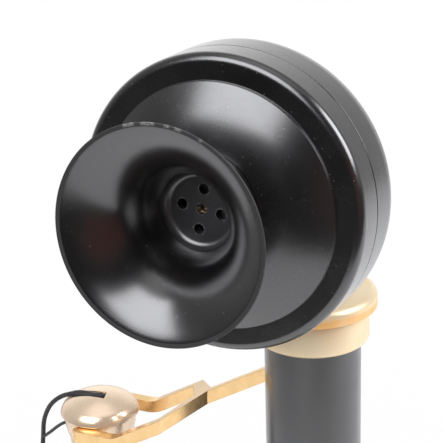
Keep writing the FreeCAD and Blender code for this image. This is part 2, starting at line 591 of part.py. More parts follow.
def make_hook():
    """The forked switch hook on its pin, its bracket in the stem, and the contacts that it works."""
    pivot = ("hook_pivot_offset", "-hook_pivot_drop")
    fall = "(hook_bend_reach + hook_pivot_offset)*tan(hook_slope)"
    bend = ("-hook_bend_reach", f"(-hook_pivot_drop - {fall})")
    level_x = "-hook_bend_reach - hook_bend_round*sin(hook_slope)"
    top = f"{HOOK_LEVEL} + hook_half_height"
    bottom = f"{HOOK_LEVEL} - hook_half_height"
    side_x = "hook_half_height*sin(hook_slope)"
    side_z = "hook_half_height*cos(hook_slope)"
    tail = (f"{pivot[0]} + hook_tail*cos(hook_slope)", f"{pivot[1]} + hook_tail*sin(hook_slope)")
    outer = "(fork_half_gap + prong_width)"
    side = slab("hook_side", [
        (f"{tail[0]} + {side_x}", f"{tail[1]} - {side_z}"),
        (f"{tail[0]} - {side_x}", f"{tail[1]} + {side_z}"),
        (f"{bend[0]} - {side_x}", f"{bend[1]} + {side_z}"),
        (level_x, top, "hook_bend_round - hook_half_height", -1),
        ("-hook_reach", top), ("-hook_reach", bottom), (level_x, bottom),
        (f"{bend[0]} + {side_x}", f"{bend[1]} - {side_z}", "hook_bend_round + hook_half_height", 1)],
        f"4*{outer}", True)
    end = f"{tail[0]} + hook_half_height"
    tip = "-hook_reach + prong_width/2"
    tip_round = "prong_width/2 + arc_ease"
    straight = "-fork_reach - fork_spread"
    plan = slab("hook_plan", [
        (end, "hook_half_width"), ("-fork_reach", "hook_half_width"), (straight, outer), (tip, outer),
        (tip, "fork_half_gap", tip_round, 1), (f"{straight} - prong_width/2", "fork_half_gap"),
        ("-fork_reach - fork_crotch", "0"), (f"{straight} - prong_width/2", "-fork_half_gap"),
        (tip, "-fork_half_gap"), (tip, f"-{outer}", tip_round, 1), (straight, f"-{outer}"),
        ("-fork_reach", "-hook_half_width"), (end, "-hook_half_width")],
        "4*hook_reach", False)
    bore = cylinder("hook_bore", "hook_pin_radius + fit_clearance", "8*hook_half_width", pivot[0],
                    "4*hook_half_width", pivot[1], X_AXIS, "90")
    piece(place(cut("hook", common("hook_bar", side, plan), bore), z="collar_bottom"), "switch_hook")

    cheek = "(bracket_half_gap + bracket_wall)"
    pin_end = f"({cheek} + pin_proud)"
    pin_z = "(collar_bottom - hook_pivot_drop)"
    piece(cylinder("pin", "hook_pin_radius", f"2*{pin_end}", pivot[0], pin_end, pin_z, X_AXIS, "90"),
          "hook_pin")
    web_bottom = "collar_bottom - bracket_web_drop"
    web = box("bracket_web", "bracket_wall", f"2*{cheek}", "bracket_web_drop",
              "bracket_back - bracket_wall", f"-{cheek}", web_bottom)
    cheeks = [box(f"bracket_cheek_{name}", "bracket_back + bracket_front", "bracket_wall",
                  "bracket_cheek_drop", "-bracket_front", y, "collar_bottom - bracket_cheek_drop")
              for name, y in (("near", f"-{cheek}"), ("far", "bracket_half_gap"))]
    hole = cylinder("bracket_bore", "hook_pin_radius", f"4*{cheek}", pivot[0], f"2*{cheek}", pin_z,
                    X_AXIS, "90")
    piece(cut("bracket", fuse("bracket_solid", web, *cheeks), hole), "hook_bracket")

    block_x = "(bracket_back - bracket_wall - contact_block_depth)"
    piece(box("contact_body", "contact_block_depth", "contact_block_width", "contact_block_height", block_x,
              "-contact_block_width/2", web_bottom), "contact_block")
    leaves = [box(f"contact_leaf_{i}", "contact_leaf_thickness", "contact_leaf_width",
                  "contact_leaf_height", f"{block_x} + contact_leaf_pitch*({i} + 1/2)",
                  "-contact_leaf_width/2", f"{web_bottom} + contact_block_height")
              for i in range(CONTACT_LEAVES)]
    piece(group("contact_leaves", *leaves), "contact_springs")


def make_receiver():
    """The hanging receiver: brass tail, bell-shaped shell, ear cap, and its magnet and coils."""
    tail = turned("tail_turned", [
        ("0", "-tail_length"), ("tail_neck_radius", "-tail_length"),
        ("tail_neck_radius", "-tail_bulge_drop"), ("tail_bulge_radius", "-tail_seat", "tail_bulge_round", 1),
        ("tail_radius - tail_edge", "-tail_seat"), ("tail_radius", "-tail_seat + tail_edge", "tail_edge", 1),
        ("tail_radius", "-tail_dome_height"),
        ("tail_shoulder_radius", "-tail_shoulder_drop", "tail_shoulder_round", 1),
        ("0", "0", "tail_dome_round", 1)])
    room = "(sleeve_radius + sleeve_room)"
    room_end = "-sleeve_start + sleeve_room"
    channel = cylinder("tail_channel", room, "2*tail_radius", room_end, "0", "-sleeve_drop", Y_AXIS, "-90")
    opening = box("tail_opening", "2*tail_radius", f"2*{room}", "2*tail_dome_height",
                  f"{room_end} - 2*tail_radius", f"-{room}", "-sleeve_drop")
    piece(hang(cut("tail", tail, channel, opening)), "tail_cap")
    sleeve = cylinder("sleeve_tube", "sleeve_radius", "sleeve_length", "-sleeve_start", "0", "-sleeve_drop",
                      Y_AXIS, "-90")
    piece(hang(group("sleeve", sleeve)), "cord_sleeve")

    straight = "(tail_length + receiver_straight)"
    thread_end = "(receiver_mouth + receiver_thread)"
    bore_top = "(tail_length + receiver_bore_top)"
    mouth_bore = "receiver_mouth_radius - receiver_wall"
    piece(hang(turned("shell", [
        ("0", "-tail_length"), ("0", f"-{bore_top}"), ("tail_neck_radius - receiver_wall", f"-{bore_top}"),
        (mouth_bore, "-receiver_mouth", "receiver_flare_round - receiver_wall", 1),
        (mouth_bore, f"-{thread_end}"), ("receiver_mouth_radius", f"-{thread_end}"),
        ("receiver_mouth_radius", "-receiver_mouth"),
        ("tail_neck_radius", f"-{straight}", "receiver_flare_round", -1),
        ("tail_neck_radius", "-tail_length")])), "receiver_shell")
    sheet_bottom = f"({thread_end} + receiver_diaphragm_thickness)"
    piece(hang(disc("ear_sheet", "receiver_mouth_radius", f"-{sheet_bottom}", f"-{thread_end}")),
          "receiver_diaphragm")
    cap_top = "(-receiver_mouth + ear_cap_skirt)"
    cap_bottom = f"({cap_top} - ear_cap_length)"
    bore = "(receiver_mouth_radius + fit_clearance)"
    piece(hang(turned("ear", [
        (bore, cap_top), (bore, f"-{sheet_bottom}"), ("ear_hole_radius", f"-{sheet_bottom} - ear_gap"),
        ("ear_hole_radius", f"-{sheet_bottom} - ear_gap - ear_plate"),
        ("ear_rim_radius", cap_bottom, "ear_dish_round", 1),
        ("ear_cap_radius", f"{cap_bottom} + ear_cap_dish", "ear_cap_round", 1),
        ("ear_cap_radius", f"{cap_top} - ear_cap_edge"),
        ("ear_cap_radius - ear_cap_edge", cap_top, "ear_cap_edge", 1)])), "ear_cap")

    pole = "(magnet_gap/2 + magnet_bar/2)"
    foot = f"({thread_end} - coil_gap)"
    tall = f"{foot} - {bore_top}"
    bars = []
    coils = []
    for name, side in (("left", "-1"), ("right", "1")):
        x = f"{side}*{pole}"
        bar, core = [centred_box(f"{kind}_{name}", "magnet_bar", "magnet_depth", tall, x, "0", f"-{foot}")
                     for kind in ("magnet", "coil_core")]
        form = cylinder(f"coil_form_{name}", "coil_radius", "coil_length", x, "0", f"-{foot} + coil_gap")
        bars.append(bar)
        coils.append(cut(f"coil_{name}", form, core))
    bend = centred_box("magnet_bend_bar", "magnet_gap + 2*magnet_bar", "magnet_depth", "magnet_bend",
                       z=f"-{bore_top} - magnet_bend")
    piece(hang(fuse("magnet", bend, *bars)), "receiver_magnet")
    piece(hang(group("coil_pair", *coils)), "receiver_coils")


def make_dial():
    """The dial in its cup: bezel, number plate, finger stop and works, and the wheel that turns."""
    plate_top = "(-number_plate_sink)"
    plate_back = "(-number_plate_sink - number_plate_thickness)"
    frame_top = "(-frame_sink)"
    frame_back = "(-frame_sink - frame_thickness)"
    wheel_back = "(wheel_proud - wheel_thickness)"
    bore = "(shaft_radius + fit_clearance)"
    piece(face_dial(turned("bezel", [
        ("bezel_inner", "0"), ("bezel_radius", "0"), ("bezel_radius", "bezel_height - bezel_round"),
        ("bezel_radius - bezel_round", "bezel_height", "bezel_round", 1),
        ("bezel_inner", "bezel_height")])), "dial_bezel")
    piece(face_dial(ring("numbers", "cup_cavity_radius - plate_clearance", bore, plate_back, plate_top)),
          "number_plate")

    arm = box("stop_arm", "bezel_inner + stop_seat - stop_inner", "stop_width", "stop_thickness",
              "stop_inner", "-stop_width/2", "bezel_height")
    nose = cylinder("stop_nose", "stop_width/2", "stop_thickness", "stop_inner", "0", "bezel_height")
    stop = place(fuse("stop_solid", arm, nose), axis=Z_AXIS, angle="stop_angle")
    piece(face_dial(group("stop", stop)), "finger_stop")

    def post(name, angle):
        return cylinder(name, "post_radius", f"{plate_back} - {frame_top}", f"post_circle*cos({angle})",
                        f"post_circle*sin({angle})", frame_top)

    piece(face_dial(group("post_set", *around("frame_post", DIAL_POSTS, post, "post_first"))), "dial_posts")
    piece(face_dial(ring("frame_plate", "frame_radius", bore, frame_back, frame_top)), "dial_frame")
    case_top = f"{frame_top} + spring_case_height"
    piece(face_dial(ring("spring_case", "spring_case_radius", bore, frame_top, case_top)),
          "return_spring_case")
    governor_end = f"{frame_back} - governor_height"
    cup = turned("governor_body", [
        ("0", frame_back), ("governor_radius", frame_back),
        ("governor_radius", f"{governor_end} + governor_edge"),
        ("governor_radius - governor_edge", governor_end, "governor_edge", -1), ("0", governor_end)])
    piece(face_dial(group("governor", place(cup, y="-governor_offset"))), "governor_cup")
    leaves = [box(f"pulse_leaf_{i}", "pulse_leaf_thickness", "pulse_leaf_length", "pulse_leaf_width",
                  f"cam_radius + pulse_leaf_gap + {i}*(pulse_leaf_thickness + pulse_leaf_gap)",
                  "-pulse_leaf_length/2", f"{frame_back} - pulse_leaf_width")
              for i in range(PULSE_LEAVES)]
    piece(face_dial(group("pulse_leaves", *leaves)), "pulse_springs")

    def finger(name, angle):
        return cylinder(name, "finger_radius", "wheel_thickness + 2*cut_over",
                        f"finger_circle*cos({angle})", f"finger_circle*sin({angle})",
                        f"{wheel_back} - cut_over")

    wheel = ring("wheel_disc", "wheel_radius", "shaft_radius", wheel_back, "wheel_proud")
    holes = around("finger_hole", FINGER_HOLES, finger, "finger_first", "finger_pitch")
    piece(face_dial(cut("wheel", wheel, *holes)), "finger_wheel")
    cam_top = f"({frame_back} - cam_gap)"
    cam_back = f"({cam_top} - cam_thickness)"
    piece(face_dial(disc("shaft", "shaft_radius", cam_back, "wheel_proud")), "dial_shaft")
    clip_bore = "(card_ring_radius - card_ring_width)"
    piece(face_dial(turned("card_clip", [
        (clip_bore, "wheel_proud"), ("card_ring_radius", "wheel_proud"),
        ("card_ring_radius", "wheel_proud + card_ring_edge"),
        (clip_bore, "wheel_proud + card_ring_height", "card_ring_round", 1)])), "card_ring")
    piece(face_dial(disc("card", f"{clip_bore} - fit_clearance", "wheel_proud",
                         "wheel_proud + card_thickness")), "number_card")
    notches = [cylinder(f"cam_notch_{name}", "cam_notch_radius", "cam_thickness + 2*cut_over",
                        f"{side}*cam_notch_offset", "0", f"{cam_back} - cut_over")
               for name, side in (("left", "-1"), ("right", "1"))]
    cam = cut("cam_lobes", ring("cam_disc", "cam_radius", "shaft_radius", cam_back, cam_top), *notches)
    piece(face_dial(group("cam", cam)), "pulse_cam")


def make_works():
    """What stands on the bottom plate: induction coil, condenser and the terminal block."""
    core_z = f"({PLATE_TOP} + coil_bobbin_radius)"
    half = "coil_bobbin_length/2"

    def coil_round(name, radius, length, x):
        return crosswise(name, radius, length, x, "coil_back", core_z)

    winding = coil_round("coil_winding", "coil_bobbin_radius - coil_cheek_step", "coil_bobbin_length",
                         f"-{half}")
    cheeks = [coil_round(f"coil_cheek_{name}", "coil_bobbin_radius", "coil_cheek", x)
              for name, x in (("left", f"-{half}"), ("right", f"{half} - coil_cheek"))]
    hole = coil_round("coil_hole", "coil_core_radius", "2*coil_core_length", "-coil_core_length")
    piece(cut("induction", fuse("induction_form", winding, *cheeks), hole), "induction_coil")
    piece(coil_round("coil_core", "coil_core_radius", "coil_core_length", "-coil_core_length/2"),
          "induction_core")
    piece(centred_box("condenser", "condenser_width", "condenser_length", "condenser_height",
                      "-condenser_side", "-condenser_back", PLATE_TOP), "condenser_can")
    block = centred_box("block", "block_length", "block_width", "block_height", "block_side", "-block_back",
                        PLATE_TOP)
    piece(group("terminal_body", block), "terminal_block")
    first = f"-block_back - block_screw_pitch*({BLOCK_SCREWS} - 1)/2"
    screws = [cylinder(f"block_screw_{i}", "block_screw_radius", "block_screw_height", "block_side",
                       f"{first} + {i}*block_screw_pitch", f"{PLATE_TOP} + block_height")
              for i in range(BLOCK_SCREWS)]
    piece(group("terminal_screw_set", *screws), "terminal_screws")


# The receiver's cord. It leaves the sleeve along the tail, falls beside the receiver to the table,
# and lies round the foot to its bushing. The first points are measured from the sleeve's end, and
# the others from the origin, with their height over a cord that lies on the table.
CORD_START = [(-0.25, 0, 0), (-4.4, 0, -1), (-8.2, 0.2, -5.2), (-10.9, 0.3, -13), (-12.3, 0.3, -23)]
CORD_FALL = [(-112, 0, 138.9), (-114.2, 0.8, 118.9), (-118, 1.6, 90.9), (-119.6, 2, 62.9),
             (-119.2, 3, 36.9), (-118.6, 6, 16.9), (-118.2, 15, 4.3)]
CORD_LAY = [(-119.4, 30, 0), (-119.8, 50, 0), (-112.5, 72, 0), (-98, 90, 0), (-78, 102, 0), (-55, 109, 0),
            (-32, 108, 0), (-10, 102, 0), (12, 102, 0), (31, 106.5, 0), (44, 104.5, 1.3), (49, 94.5, 4.1)]
ARC_SHARE = 0.45


def cord_points():
    sleeve_end = Vector(-value(f"{RECEIVER_REACH} + sleeve_start + sleeve_length"), 0,
                        value(f"{RECEIVER_TOP} - sleeve_drop"))
    table = Vector(0, 0, value("cord_radius"))
    angle = math.radians(value("bushing_angle"))
    outward = Vector(math.cos(angle), math.sin(angle), 0)
    mouth = outward * value("base_radius + bushing_length") + Z_AXIS * value("bushing_height")
    points = [sleeve_end + Vector(*point) for point in CORD_START]
    points += [table + Vector(*point) for point in CORD_FALL + CORD_LAY]
    return points + [mouth + outward * value("cord_lead_in"), mouth]


def make_cord():
    """A limp round cord on straight runs joined by arcs as large as the runs allow."""
    points = cord_points()
    edges = []
    radii = []
    at = points[0]
    for before, corner, after in zip(points, points[1:], points[2:]):
        back = before - corner
        ahead = after - corner
        half_turn = (math.pi - back.getAngle(ahead)) / 2
        trim = ARC_SHARE * min(back.Length, ahead.Length)
        radii.append(trim / math.tan(half_turn))
        back.normalize()
        ahead.normalize()
        enter = corner + back * trim
        leave = corner + ahead * trim
        bisector = (back + ahead).normalize()
        middle = corner + bisector * (radii[-1] / math.cos(half_turn) - radii[-1])
        edges.append(Part.LineSegment(at, enter).toShape())
        edges.append(Part.Arc(enter, middle, leave).toShape())
        at = leave
    edges.append(Part.LineSegment(at, points[-1]).toShape())
    path = Part.Wire(edges)
    radius = value("cord_radius")
    section = Part.Wire(Part.Circle(points[0], points[1] - points[0], radius).toShape())
    tube = path.makePipeShell([section], True, False)
    filled = tube.Volume / (math.pi * radius ** 2 * path.Length)
    print("cord radii", [round(r, 1) for r in radii])
    print("cord length", round(path.Length, 1), "volume ratio", round(filled, 4))
    cord = doc.addObject("Part::Feature", "cord")
    cord.Shape = tube
    piece(cord, "receiver_cord")


make_foot()
make_cord_entries()
make_stem()
make_perch()
make_transmitter()
make_hook()
make_receiver()
make_dial()
make_works()
make_cord()
doc.recompute()

failed = [obj.Name for obj in doc.Objects if "Invalid" in obj.State or "Error" in obj.State]
failed += [obj.Label for obj in pieces if obj.Shape.isNull() or not obj.Shape.isValid()]
if failed:
    raise RuntimeError("failed: " + ", ".join(failed))
os.makedirs("parts", exist_ok=True)
for obj in pieces:
    obj.Shape.exportStep(f"parts/{obj.Label}.step")
print(len(pieces), "pieces")
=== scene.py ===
import json
import math
import bpy
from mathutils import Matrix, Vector


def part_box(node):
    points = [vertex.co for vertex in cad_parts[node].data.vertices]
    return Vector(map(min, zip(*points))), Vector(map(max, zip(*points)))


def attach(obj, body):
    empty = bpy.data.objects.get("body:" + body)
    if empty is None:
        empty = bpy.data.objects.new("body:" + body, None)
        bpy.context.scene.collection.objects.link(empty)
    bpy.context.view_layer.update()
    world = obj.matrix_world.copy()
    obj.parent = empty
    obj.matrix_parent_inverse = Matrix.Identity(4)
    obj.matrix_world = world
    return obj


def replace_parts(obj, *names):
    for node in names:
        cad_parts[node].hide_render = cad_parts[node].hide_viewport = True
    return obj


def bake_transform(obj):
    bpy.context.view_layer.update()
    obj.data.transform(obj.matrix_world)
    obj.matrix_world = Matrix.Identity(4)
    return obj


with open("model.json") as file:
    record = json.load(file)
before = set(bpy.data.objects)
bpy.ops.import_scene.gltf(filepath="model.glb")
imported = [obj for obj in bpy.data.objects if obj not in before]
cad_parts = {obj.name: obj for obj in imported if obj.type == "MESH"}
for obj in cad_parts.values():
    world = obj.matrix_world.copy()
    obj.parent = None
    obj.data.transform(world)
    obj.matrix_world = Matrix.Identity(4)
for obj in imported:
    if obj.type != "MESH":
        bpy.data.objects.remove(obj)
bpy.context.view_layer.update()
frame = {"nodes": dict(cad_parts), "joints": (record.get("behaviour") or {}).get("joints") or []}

# Foot felt: a disc of green-black pressed wool felt, cut to the foot's rim and glued under it.
# Its cut edge is slightly soft, and the fibres lie in all directions.
mm = 0.001
up = Vector((0, 0, 1))
side_x = Vector((1, 0, 0))
stand_foot = Vector((0, 0, 0))


def outline(*corners, turn=7):
    """Points along an outline. A corner is (radius, height), with (bend, side) added where an arc
    of that radius leads to it, its centre on the left (1) or on the right (-1)."""
    points = []
    for corner in corners:
        if len(corner) == 2:
            points.append(Vector(corner))
            continue
        start, end = points[-1], Vector(corner[:2])
        bend, side = corner[2:]
        chord = end - start
        across = Vector((-chord.y, chord.x)).normalized()
        centre = (start + end) / 2 + across * side * math.sqrt(bend ** 2 - chord.length_squared / 4)
        first = math.atan2(start.y - centre.y, start.x - centre.x)
        sweep = 2 * side * math.asin(chord.length / 2 / bend)
        count = max(2, round(abs(math.degrees(sweep)) / turn))
        for step in range(1, count + 1):
            angle = first + sweep * step / count
            points.append(centre + bend * Vector((math.cos(angle), math.sin(angle))))
    return points


def settle(piece, edge, segments=3, sharp=28, smooth=40, weld=0.001):
    """Round off the edges of a piece that are sharper than an angle, point its faces outwards and
    smooth its shading."""
    bpy.ops.object.mode_set(mode="EDIT")
    bpy.ops.mesh.select_mode(type="VERT")
    bpy.ops.mesh.select_all(action="SELECT")
    bpy.ops.mesh.remove_doubles(threshold=weld * mm)
    bpy.ops.mesh.normals_make_consistent(inside=False)
    if edge:
        bpy.ops.mesh.select_mode(type="EDGE")
        bpy.ops.mesh.select_all(action="DESELECT")
        bpy.ops.mesh.edges_select_sharp(sharpness=math.radians(sharp))
        bpy.ops.mesh.bevel(offset=edge * mm, segments=segments, affect="EDGES", clamp_overlap=True)
        bpy.ops.mesh.select_all(action="SELECT")
        bpy.ops.mesh.remove_doubles(threshold=weld * mm)
    bpy.ops.object.mode_set(mode="OBJECT")
    bpy.ops.object.shade_smooth_by_angle(angle=math.radians(smooth))
    return piece


def lathe(name, origin, axis, points, edge, steps):
    """A piece turned about an axis: a point is drawn out along the outline, and the line is spun."""
    bpy.ops.object.select_all(action="DESELECT")
    bpy.ops.mesh.primitive_plane_add(size=mm)
    turned = bpy.context.object
    turned.name = turned.data.name = name
    places = [origin + (side_x * radius + axis * height) * mm for radius, height in points]
    bpy.ops.object.mode_set(mode="EDIT")
    bpy.ops.mesh.select_mode(type="VERT")
    bpy.ops.mesh.select_all(action="SELECT")
    bpy.ops.mesh.merge(type="CENTER")
    bpy.ops.transform.translate(value=places[0])
    for before, after in zip(places, places[1:]):
        bpy.ops.mesh.extrude_vertices_move(TRANSFORM_OT_translate={"value": after - before})
    bpy.ops.mesh.select_all(action="SELECT")
    bpy.ops.mesh.spin(steps=steps, angle=2 * math.pi, center=origin, axis=axis)
    bpy.ops.object.mode_set(mode="OBJECT")
    return settle(turned, edge)


def stand_lathe(name, corners, edge, steps=160):
    return lathe(name, stand_foot, up, outline(*corners), edge, steps)


def wire(tree, source, target):
    tree.links.new(source, target)


def add_node(tree, kind, inputs=(), **settings):
    """A new node with its settings. Each input, by its name or number, is given an output or a value."""
    node = tree.nodes.new("ShaderNode" + kind)
    for name, value in settings.items():
        setattr(node, name, value)
    for name, value in dict(inputs).items():
        if isinstance(value, bpy.types.NodeSocket):
            wire(tree, value, node.inputs[name])
        else:
            node.inputs[name].default_value = value
    return node


def calculate(tree, operation, *values, clamp=False):
    """The result of a sum on outputs or plain numbers."""
    return add_node(tree, "Math", enumerate(values), operation=operation, use_clamp=clamp).outputs["Value"]


def spread(tree, value, start, end, low=0.0, high=1.0, kind="LINEAR"):
    """A value that goes from low to high while another goes from start to end."""
    node = add_node(tree, "MapRange", {"Value": value, "From Min": start, "From Max": end,
                                       "To Min": low, "To Max": high}, interpolation_type=kind)
    return node.outputs["Result"]


def effect_group(name, output, *inputs):
    """A new shared effect, with a Vector and plain numbers as inputs and one number as output. Gives
    the group, what it is given, and where its result goes."""
    group = bpy.data.node_groups.new(name, "ShaderNodeTree")
    group.interface.new_socket("Vector", in_out="INPUT", socket_type="NodeSocketVector")
    for label in inputs:
        group.interface.new_socket(label, in_out="INPUT", socket_type="NodeSocketFloat")
    group.interface.new_socket(output, in_out="OUTPUT", socket_type="NodeSocketFloat")
    given = group.nodes.new("NodeGroupInput").outputs
    result = group.nodes.new("NodeGroupOutput").inputs[output]
    return group, given, result


def mottling_group():
    """Soft patches over a surface: a value between Low and High."""
    group, given, result = effect_group("mottling", "Value", "Scale", "Low", "High")
    noise = add_node(group, "TexNoise", {"Vector": given["Vector"], "Scale": given["Scale"],
                                         "Detail": 6, "Roughness": 0.62})
    wire(group, spread(group, noise.outputs["Fac"], 0.3, 0.7, given["Low"], given["High"]), result)
    return group


mottling = mottling_group()


class Finish:
    """One surface finish: its material, its Principled shader, and the coordinates it is laid on."""

    def __init__(self, name, color, roughness, metallic=0.0, centre=(0, 0, 0), turn=(0, 0, 0)):
        self.material = bpy.data.materials.new(name)
        self.material.use_nodes = True
        self.tree = self.material.node_tree
        self.shader = self.tree.nodes["Principled BSDF"]
        self.put("Base Color", (*color, 1))
        self.put("Roughness", roughness)
        self.put("Metallic", metallic)
        place = add_node(self.tree, "TexCoord").outputs["Object"]
        mapping = add_node(self.tree, "Mapping", {"Vector": place, "Location": centre, "Rotation": turn},
                           vector_type="TEXTURE")
        self.where = mapping.outputs["Vector"]

    def put(self, socket, value):
        self.shader.inputs[socket].default_value = value
        return self

    def effect(self, group, **values):
        """Place a shared effect in this material, with its own values."""
        return add_node(self.tree, "Group", {"Vector": self.where, **values}, node_tree=group).outputs[0]

    def vary(self, socket, scale, low, high):
        """Let a socket's value change from patch to patch."""
        wire(self.tree, self.effect(mottling, Scale=scale, Low=low, High=high), self.shader.inputs[socket])
        return self

    def tint(self, mask, color):
        """Mix a second colour into the base colour where the mask is 1."""
        base = self.shader.inputs["Base Color"]
        before = base.links[0].from_socket if base.links else base.default_value
        mix = add_node(self.tree, "Mix", {"Factor": mask, "A": before, "B": (*color, 1)}, data_type="RGBA")
        wire(self.tree, mix.outputs["Result"], base)
        return self

    def patches(self, scale, color, amount=1.0):
        """Mix a second colour in, in soft patches."""
        return self.tint(self.effect(mottling, Scale=scale, Low=0.0, High=amount), color)

    def relief(self, height, strength, depth):
        """Raise the surface by a height, to a depth in millimetres."""
        bump = add_node(self.tree, "Bump", {"Strength": strength, "Distance": depth * mm, "Height": height})
        normal = self.shader.inputs["Normal"]
        if normal.links:
            wire(self.tree, normal.links[0].from_socket, bump.inputs["Normal"])
        wire(self.tree, bump.outputs["Normal"], normal)
        return self

    def grain(self, scale, strength, depth):
        """Raise the surface in soft patches."""
        return self.relief(self.effect(mottling, Scale=scale, Low=0.0, High=1.0), strength, depth)

    def matt(self, mask, roughness):
        """Take the polish off where the mask is 1."""
        polish = self.shader.inputs["Roughness"]
        worn = calculate(self.tree, "MULTIPLY", mask, roughness)
        wire(self.tree, calculate(self.tree, "SUBTRACT", 1, mask), self.shader.inputs["Coat Weight"])
        wire(self.tree, calculate(self.tree, "MAXIMUM", polish.links[0].from_socket, worn), polish)
        return self

    def on(self, *pieces):
        """Put the finish on pieces: CAD nodes by name, or objects."""
        for piece in pieces:
            target = frame["nodes"][piece] if isinstance(piece, str) else piece
            if target.data.materials:
                target.data.materials[0] = self.material
            else:
                target.data.materials.append(self.material)
        return self


felt_radius = 74
felt_thickness = 2
felt_cut = 0.5
felt = stand_lathe("felt_disc", [
    (0, 0), (felt_radius - felt_cut, 0), (felt_radius, felt_cut), (felt_radius - 0.2, felt_thickness - 0.3),
    (felt_radius - 0.6, felt_thickness), (0, felt_thickness)], edge=0.2)
wool_felt = Finish("wool_felt", (0.03, 0.045, 0.035), 0.95)
wool_felt.patches(900, (0.07, 0.085, 0.07)).grain(2600, 0.8, 0.35)
wool_felt.put("Sheen Weight", 0.4).put("Sheen Roughness", 0.5).on(felt)
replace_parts(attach(felt, "stand"), "felt_pad")

# Bottom plate and its screws: a disc of zinc-plated sheet let into the foot behind the felt, held in the
# bosses of the casting by three steel screws with sunk heads.
zinc = Finish("zinc_plating", (0.62, 0.63, 0.64), 0.4, 1.0)
zinc.vary("Roughness", 160, 0.32, 0.55).patches(240, (0.5, 0.51, 0.53), 0.8)
zinc.on("base_plate", "condenser_can", "stem_plug", "hook_bracket", "clamp_ring", "button_bridge",
        "dial_frame", "return_spring_case", "governor_cup")
steel = Finish("turned_steel", (0.56, 0.56, 0.57), 0.3, 1.0)
steel.vary("Roughness", 420, 0.22, 0.42).patches(200, (0.46, 0.46, 0.48), 0.7)
steel.on("base_screws", "terminal_screws", "bridge_screws", "hook_pin", "dial_posts", "dial_shaft")

# Foot: an iron casting with an ogee profile and a cup for the dial, filled and stoved in black enamel.
# The enamel is satin, faintly uneven from the brush, with a little dust in it. Two soft rubber bushings
# let the cords in.


def specks_group():
    """Small scattered specks: a mask that is 1 on a speck."""
    group, given, result = effect_group("specks", "Mask", "Scale", "Size", "Share")
    cells = add_node(group, "TexVoronoi", {"Vector": given["Vector"], "Scale": given["Scale"]})
    near = calculate(group, "LESS_THAN", cells.outputs["Distance"], given["Size"])
    lot = add_node(group, "SeparateColor", {"Color": cells.outputs["Color"]})
    chosen = calculate(group, "LESS_THAN", lot.outputs["Red"], given["Share"])
    wire(group, calculate(group, "MULTIPLY", near, chosen), result)
    return group


def gloss(finish, polish):
    """The clear, hard skin of lacquer or ebonite: a strong surface reflection under a thin polish."""
    finish.put("Specular IOR Level", 1.0).put("Coat Weight", 1.0)
    return finish.put("Coat Roughness", polish).put("Coat IOR", 1.5)


specks = specks_group()
dust = (0.16, 0.155, 0.15)
black = (0.003, 0.003, 0.0034)
worn_black = (0.006, 0.006, 0.0065)
black_enamel = Finish("black_enamel_cast", black, 0.32)
black_enamel.patches(60, worn_black).vary("Roughness", 130, 0.26, 0.4).grain(210, 0.12, 0.15)
black_enamel.tint(black_enamel.effect(specks, Scale=420, Size=0.16, Share=0.05), dust)
gloss(black_enamel, 0.25).on("base_shell")
soft_rubber = Finish("soft_rubber", (0.02, 0.02, 0.021), 0.7)
soft_rubber.vary("Roughness", 500, 0.6, 0.85).grain(900, 0.2, 0.1)
soft_rubber.on("receiver_cord_bushing", "line_gland", "diaphragm_gasket")

# Works in the foot: the induction coil on its core, the condenser and the block of terminals. They stand
# on the bottom plate, out of sight.
winding = Finish("enamelled_winding", (0.16, 0.05, 0.02), 0.45)
winding.patches(300, (0.24, 0.08, 0.03)).grain(900, 0.5, 0.3).on("induction_coil", "receiver_coils")
insulator = Finish("insulating_board", (0.06, 0.035, 0.02), 0.55)
insulator.patches(300, (0.1, 0.055, 0.03)).grain(700, 0.2, 0.1)
insulator.on("terminal_block", "contact_block", "pulse_cam", "carbon_button")
soft_iron = Finish("soft_iron", (0.4, 0.4, 0.41), 0.45, 1.0)
soft_iron.vary("Roughness", 300, 0.35, 0.6).on("induction_core", "receiver_magnet", "receiver_diaphragm")

# Stem foot ring and stem: a turned ring at the foot, and a steel tube that is pressed into the foot, both
# in black enamel. The hook comes out through a slot in the tube's side.


def split_xyz(tree, vector):
    return add_node(tree, "SeparateXYZ", {"Vector": vector}).outputs


def measure(tree, operation, *vectors):
    """A number from vectors, such as a length, a distance or a dot product."""
    return add_node(tree, "VectorMath", enumerate(vectors), operation=operation).outputs["Value"]


def flattened(tree, vector):
    """A vector without its Z part."""
    flat = add_node(tree, "VectorMath", {0: vector, 1: (1, 1, 0)}, operation="MULTIPLY")
    return flat.outputs["Vector"]


def turning_group():
    """Fine rings left by the lathe round the Z axis: a height that changes with radius and height. There
    are none within the Bare radius, and they grow to their full depth over the next millimetre."""
    group, given, result = effect_group("turning_marks", "Height", "Scale", "Bare")
    radius = measure(group, "LENGTH", flattened(group, given["Vector"]))
    place = add_node(group, "CombineXYZ", {"X": radius, "Y": split_xyz(group, given["Vector"])["Z"]})
    noise = add_node(group, "TexNoise", {"Vector": place.outputs["Vector"], "Scale": given["Scale"],
                                         "Detail": 4})
    level = calculate(group, "SUBTRACT", noise.outputs["Fac"], 0.5)
    beyond = calculate(group, "SUBTRACT", radius, given["Bare"])
    growth = calculate(group, "MULTIPLY", beyond, 1 / mm, clamp=True)
    wire(group, calculate(group, "MULTIPLY", level, growth), result)
    return group


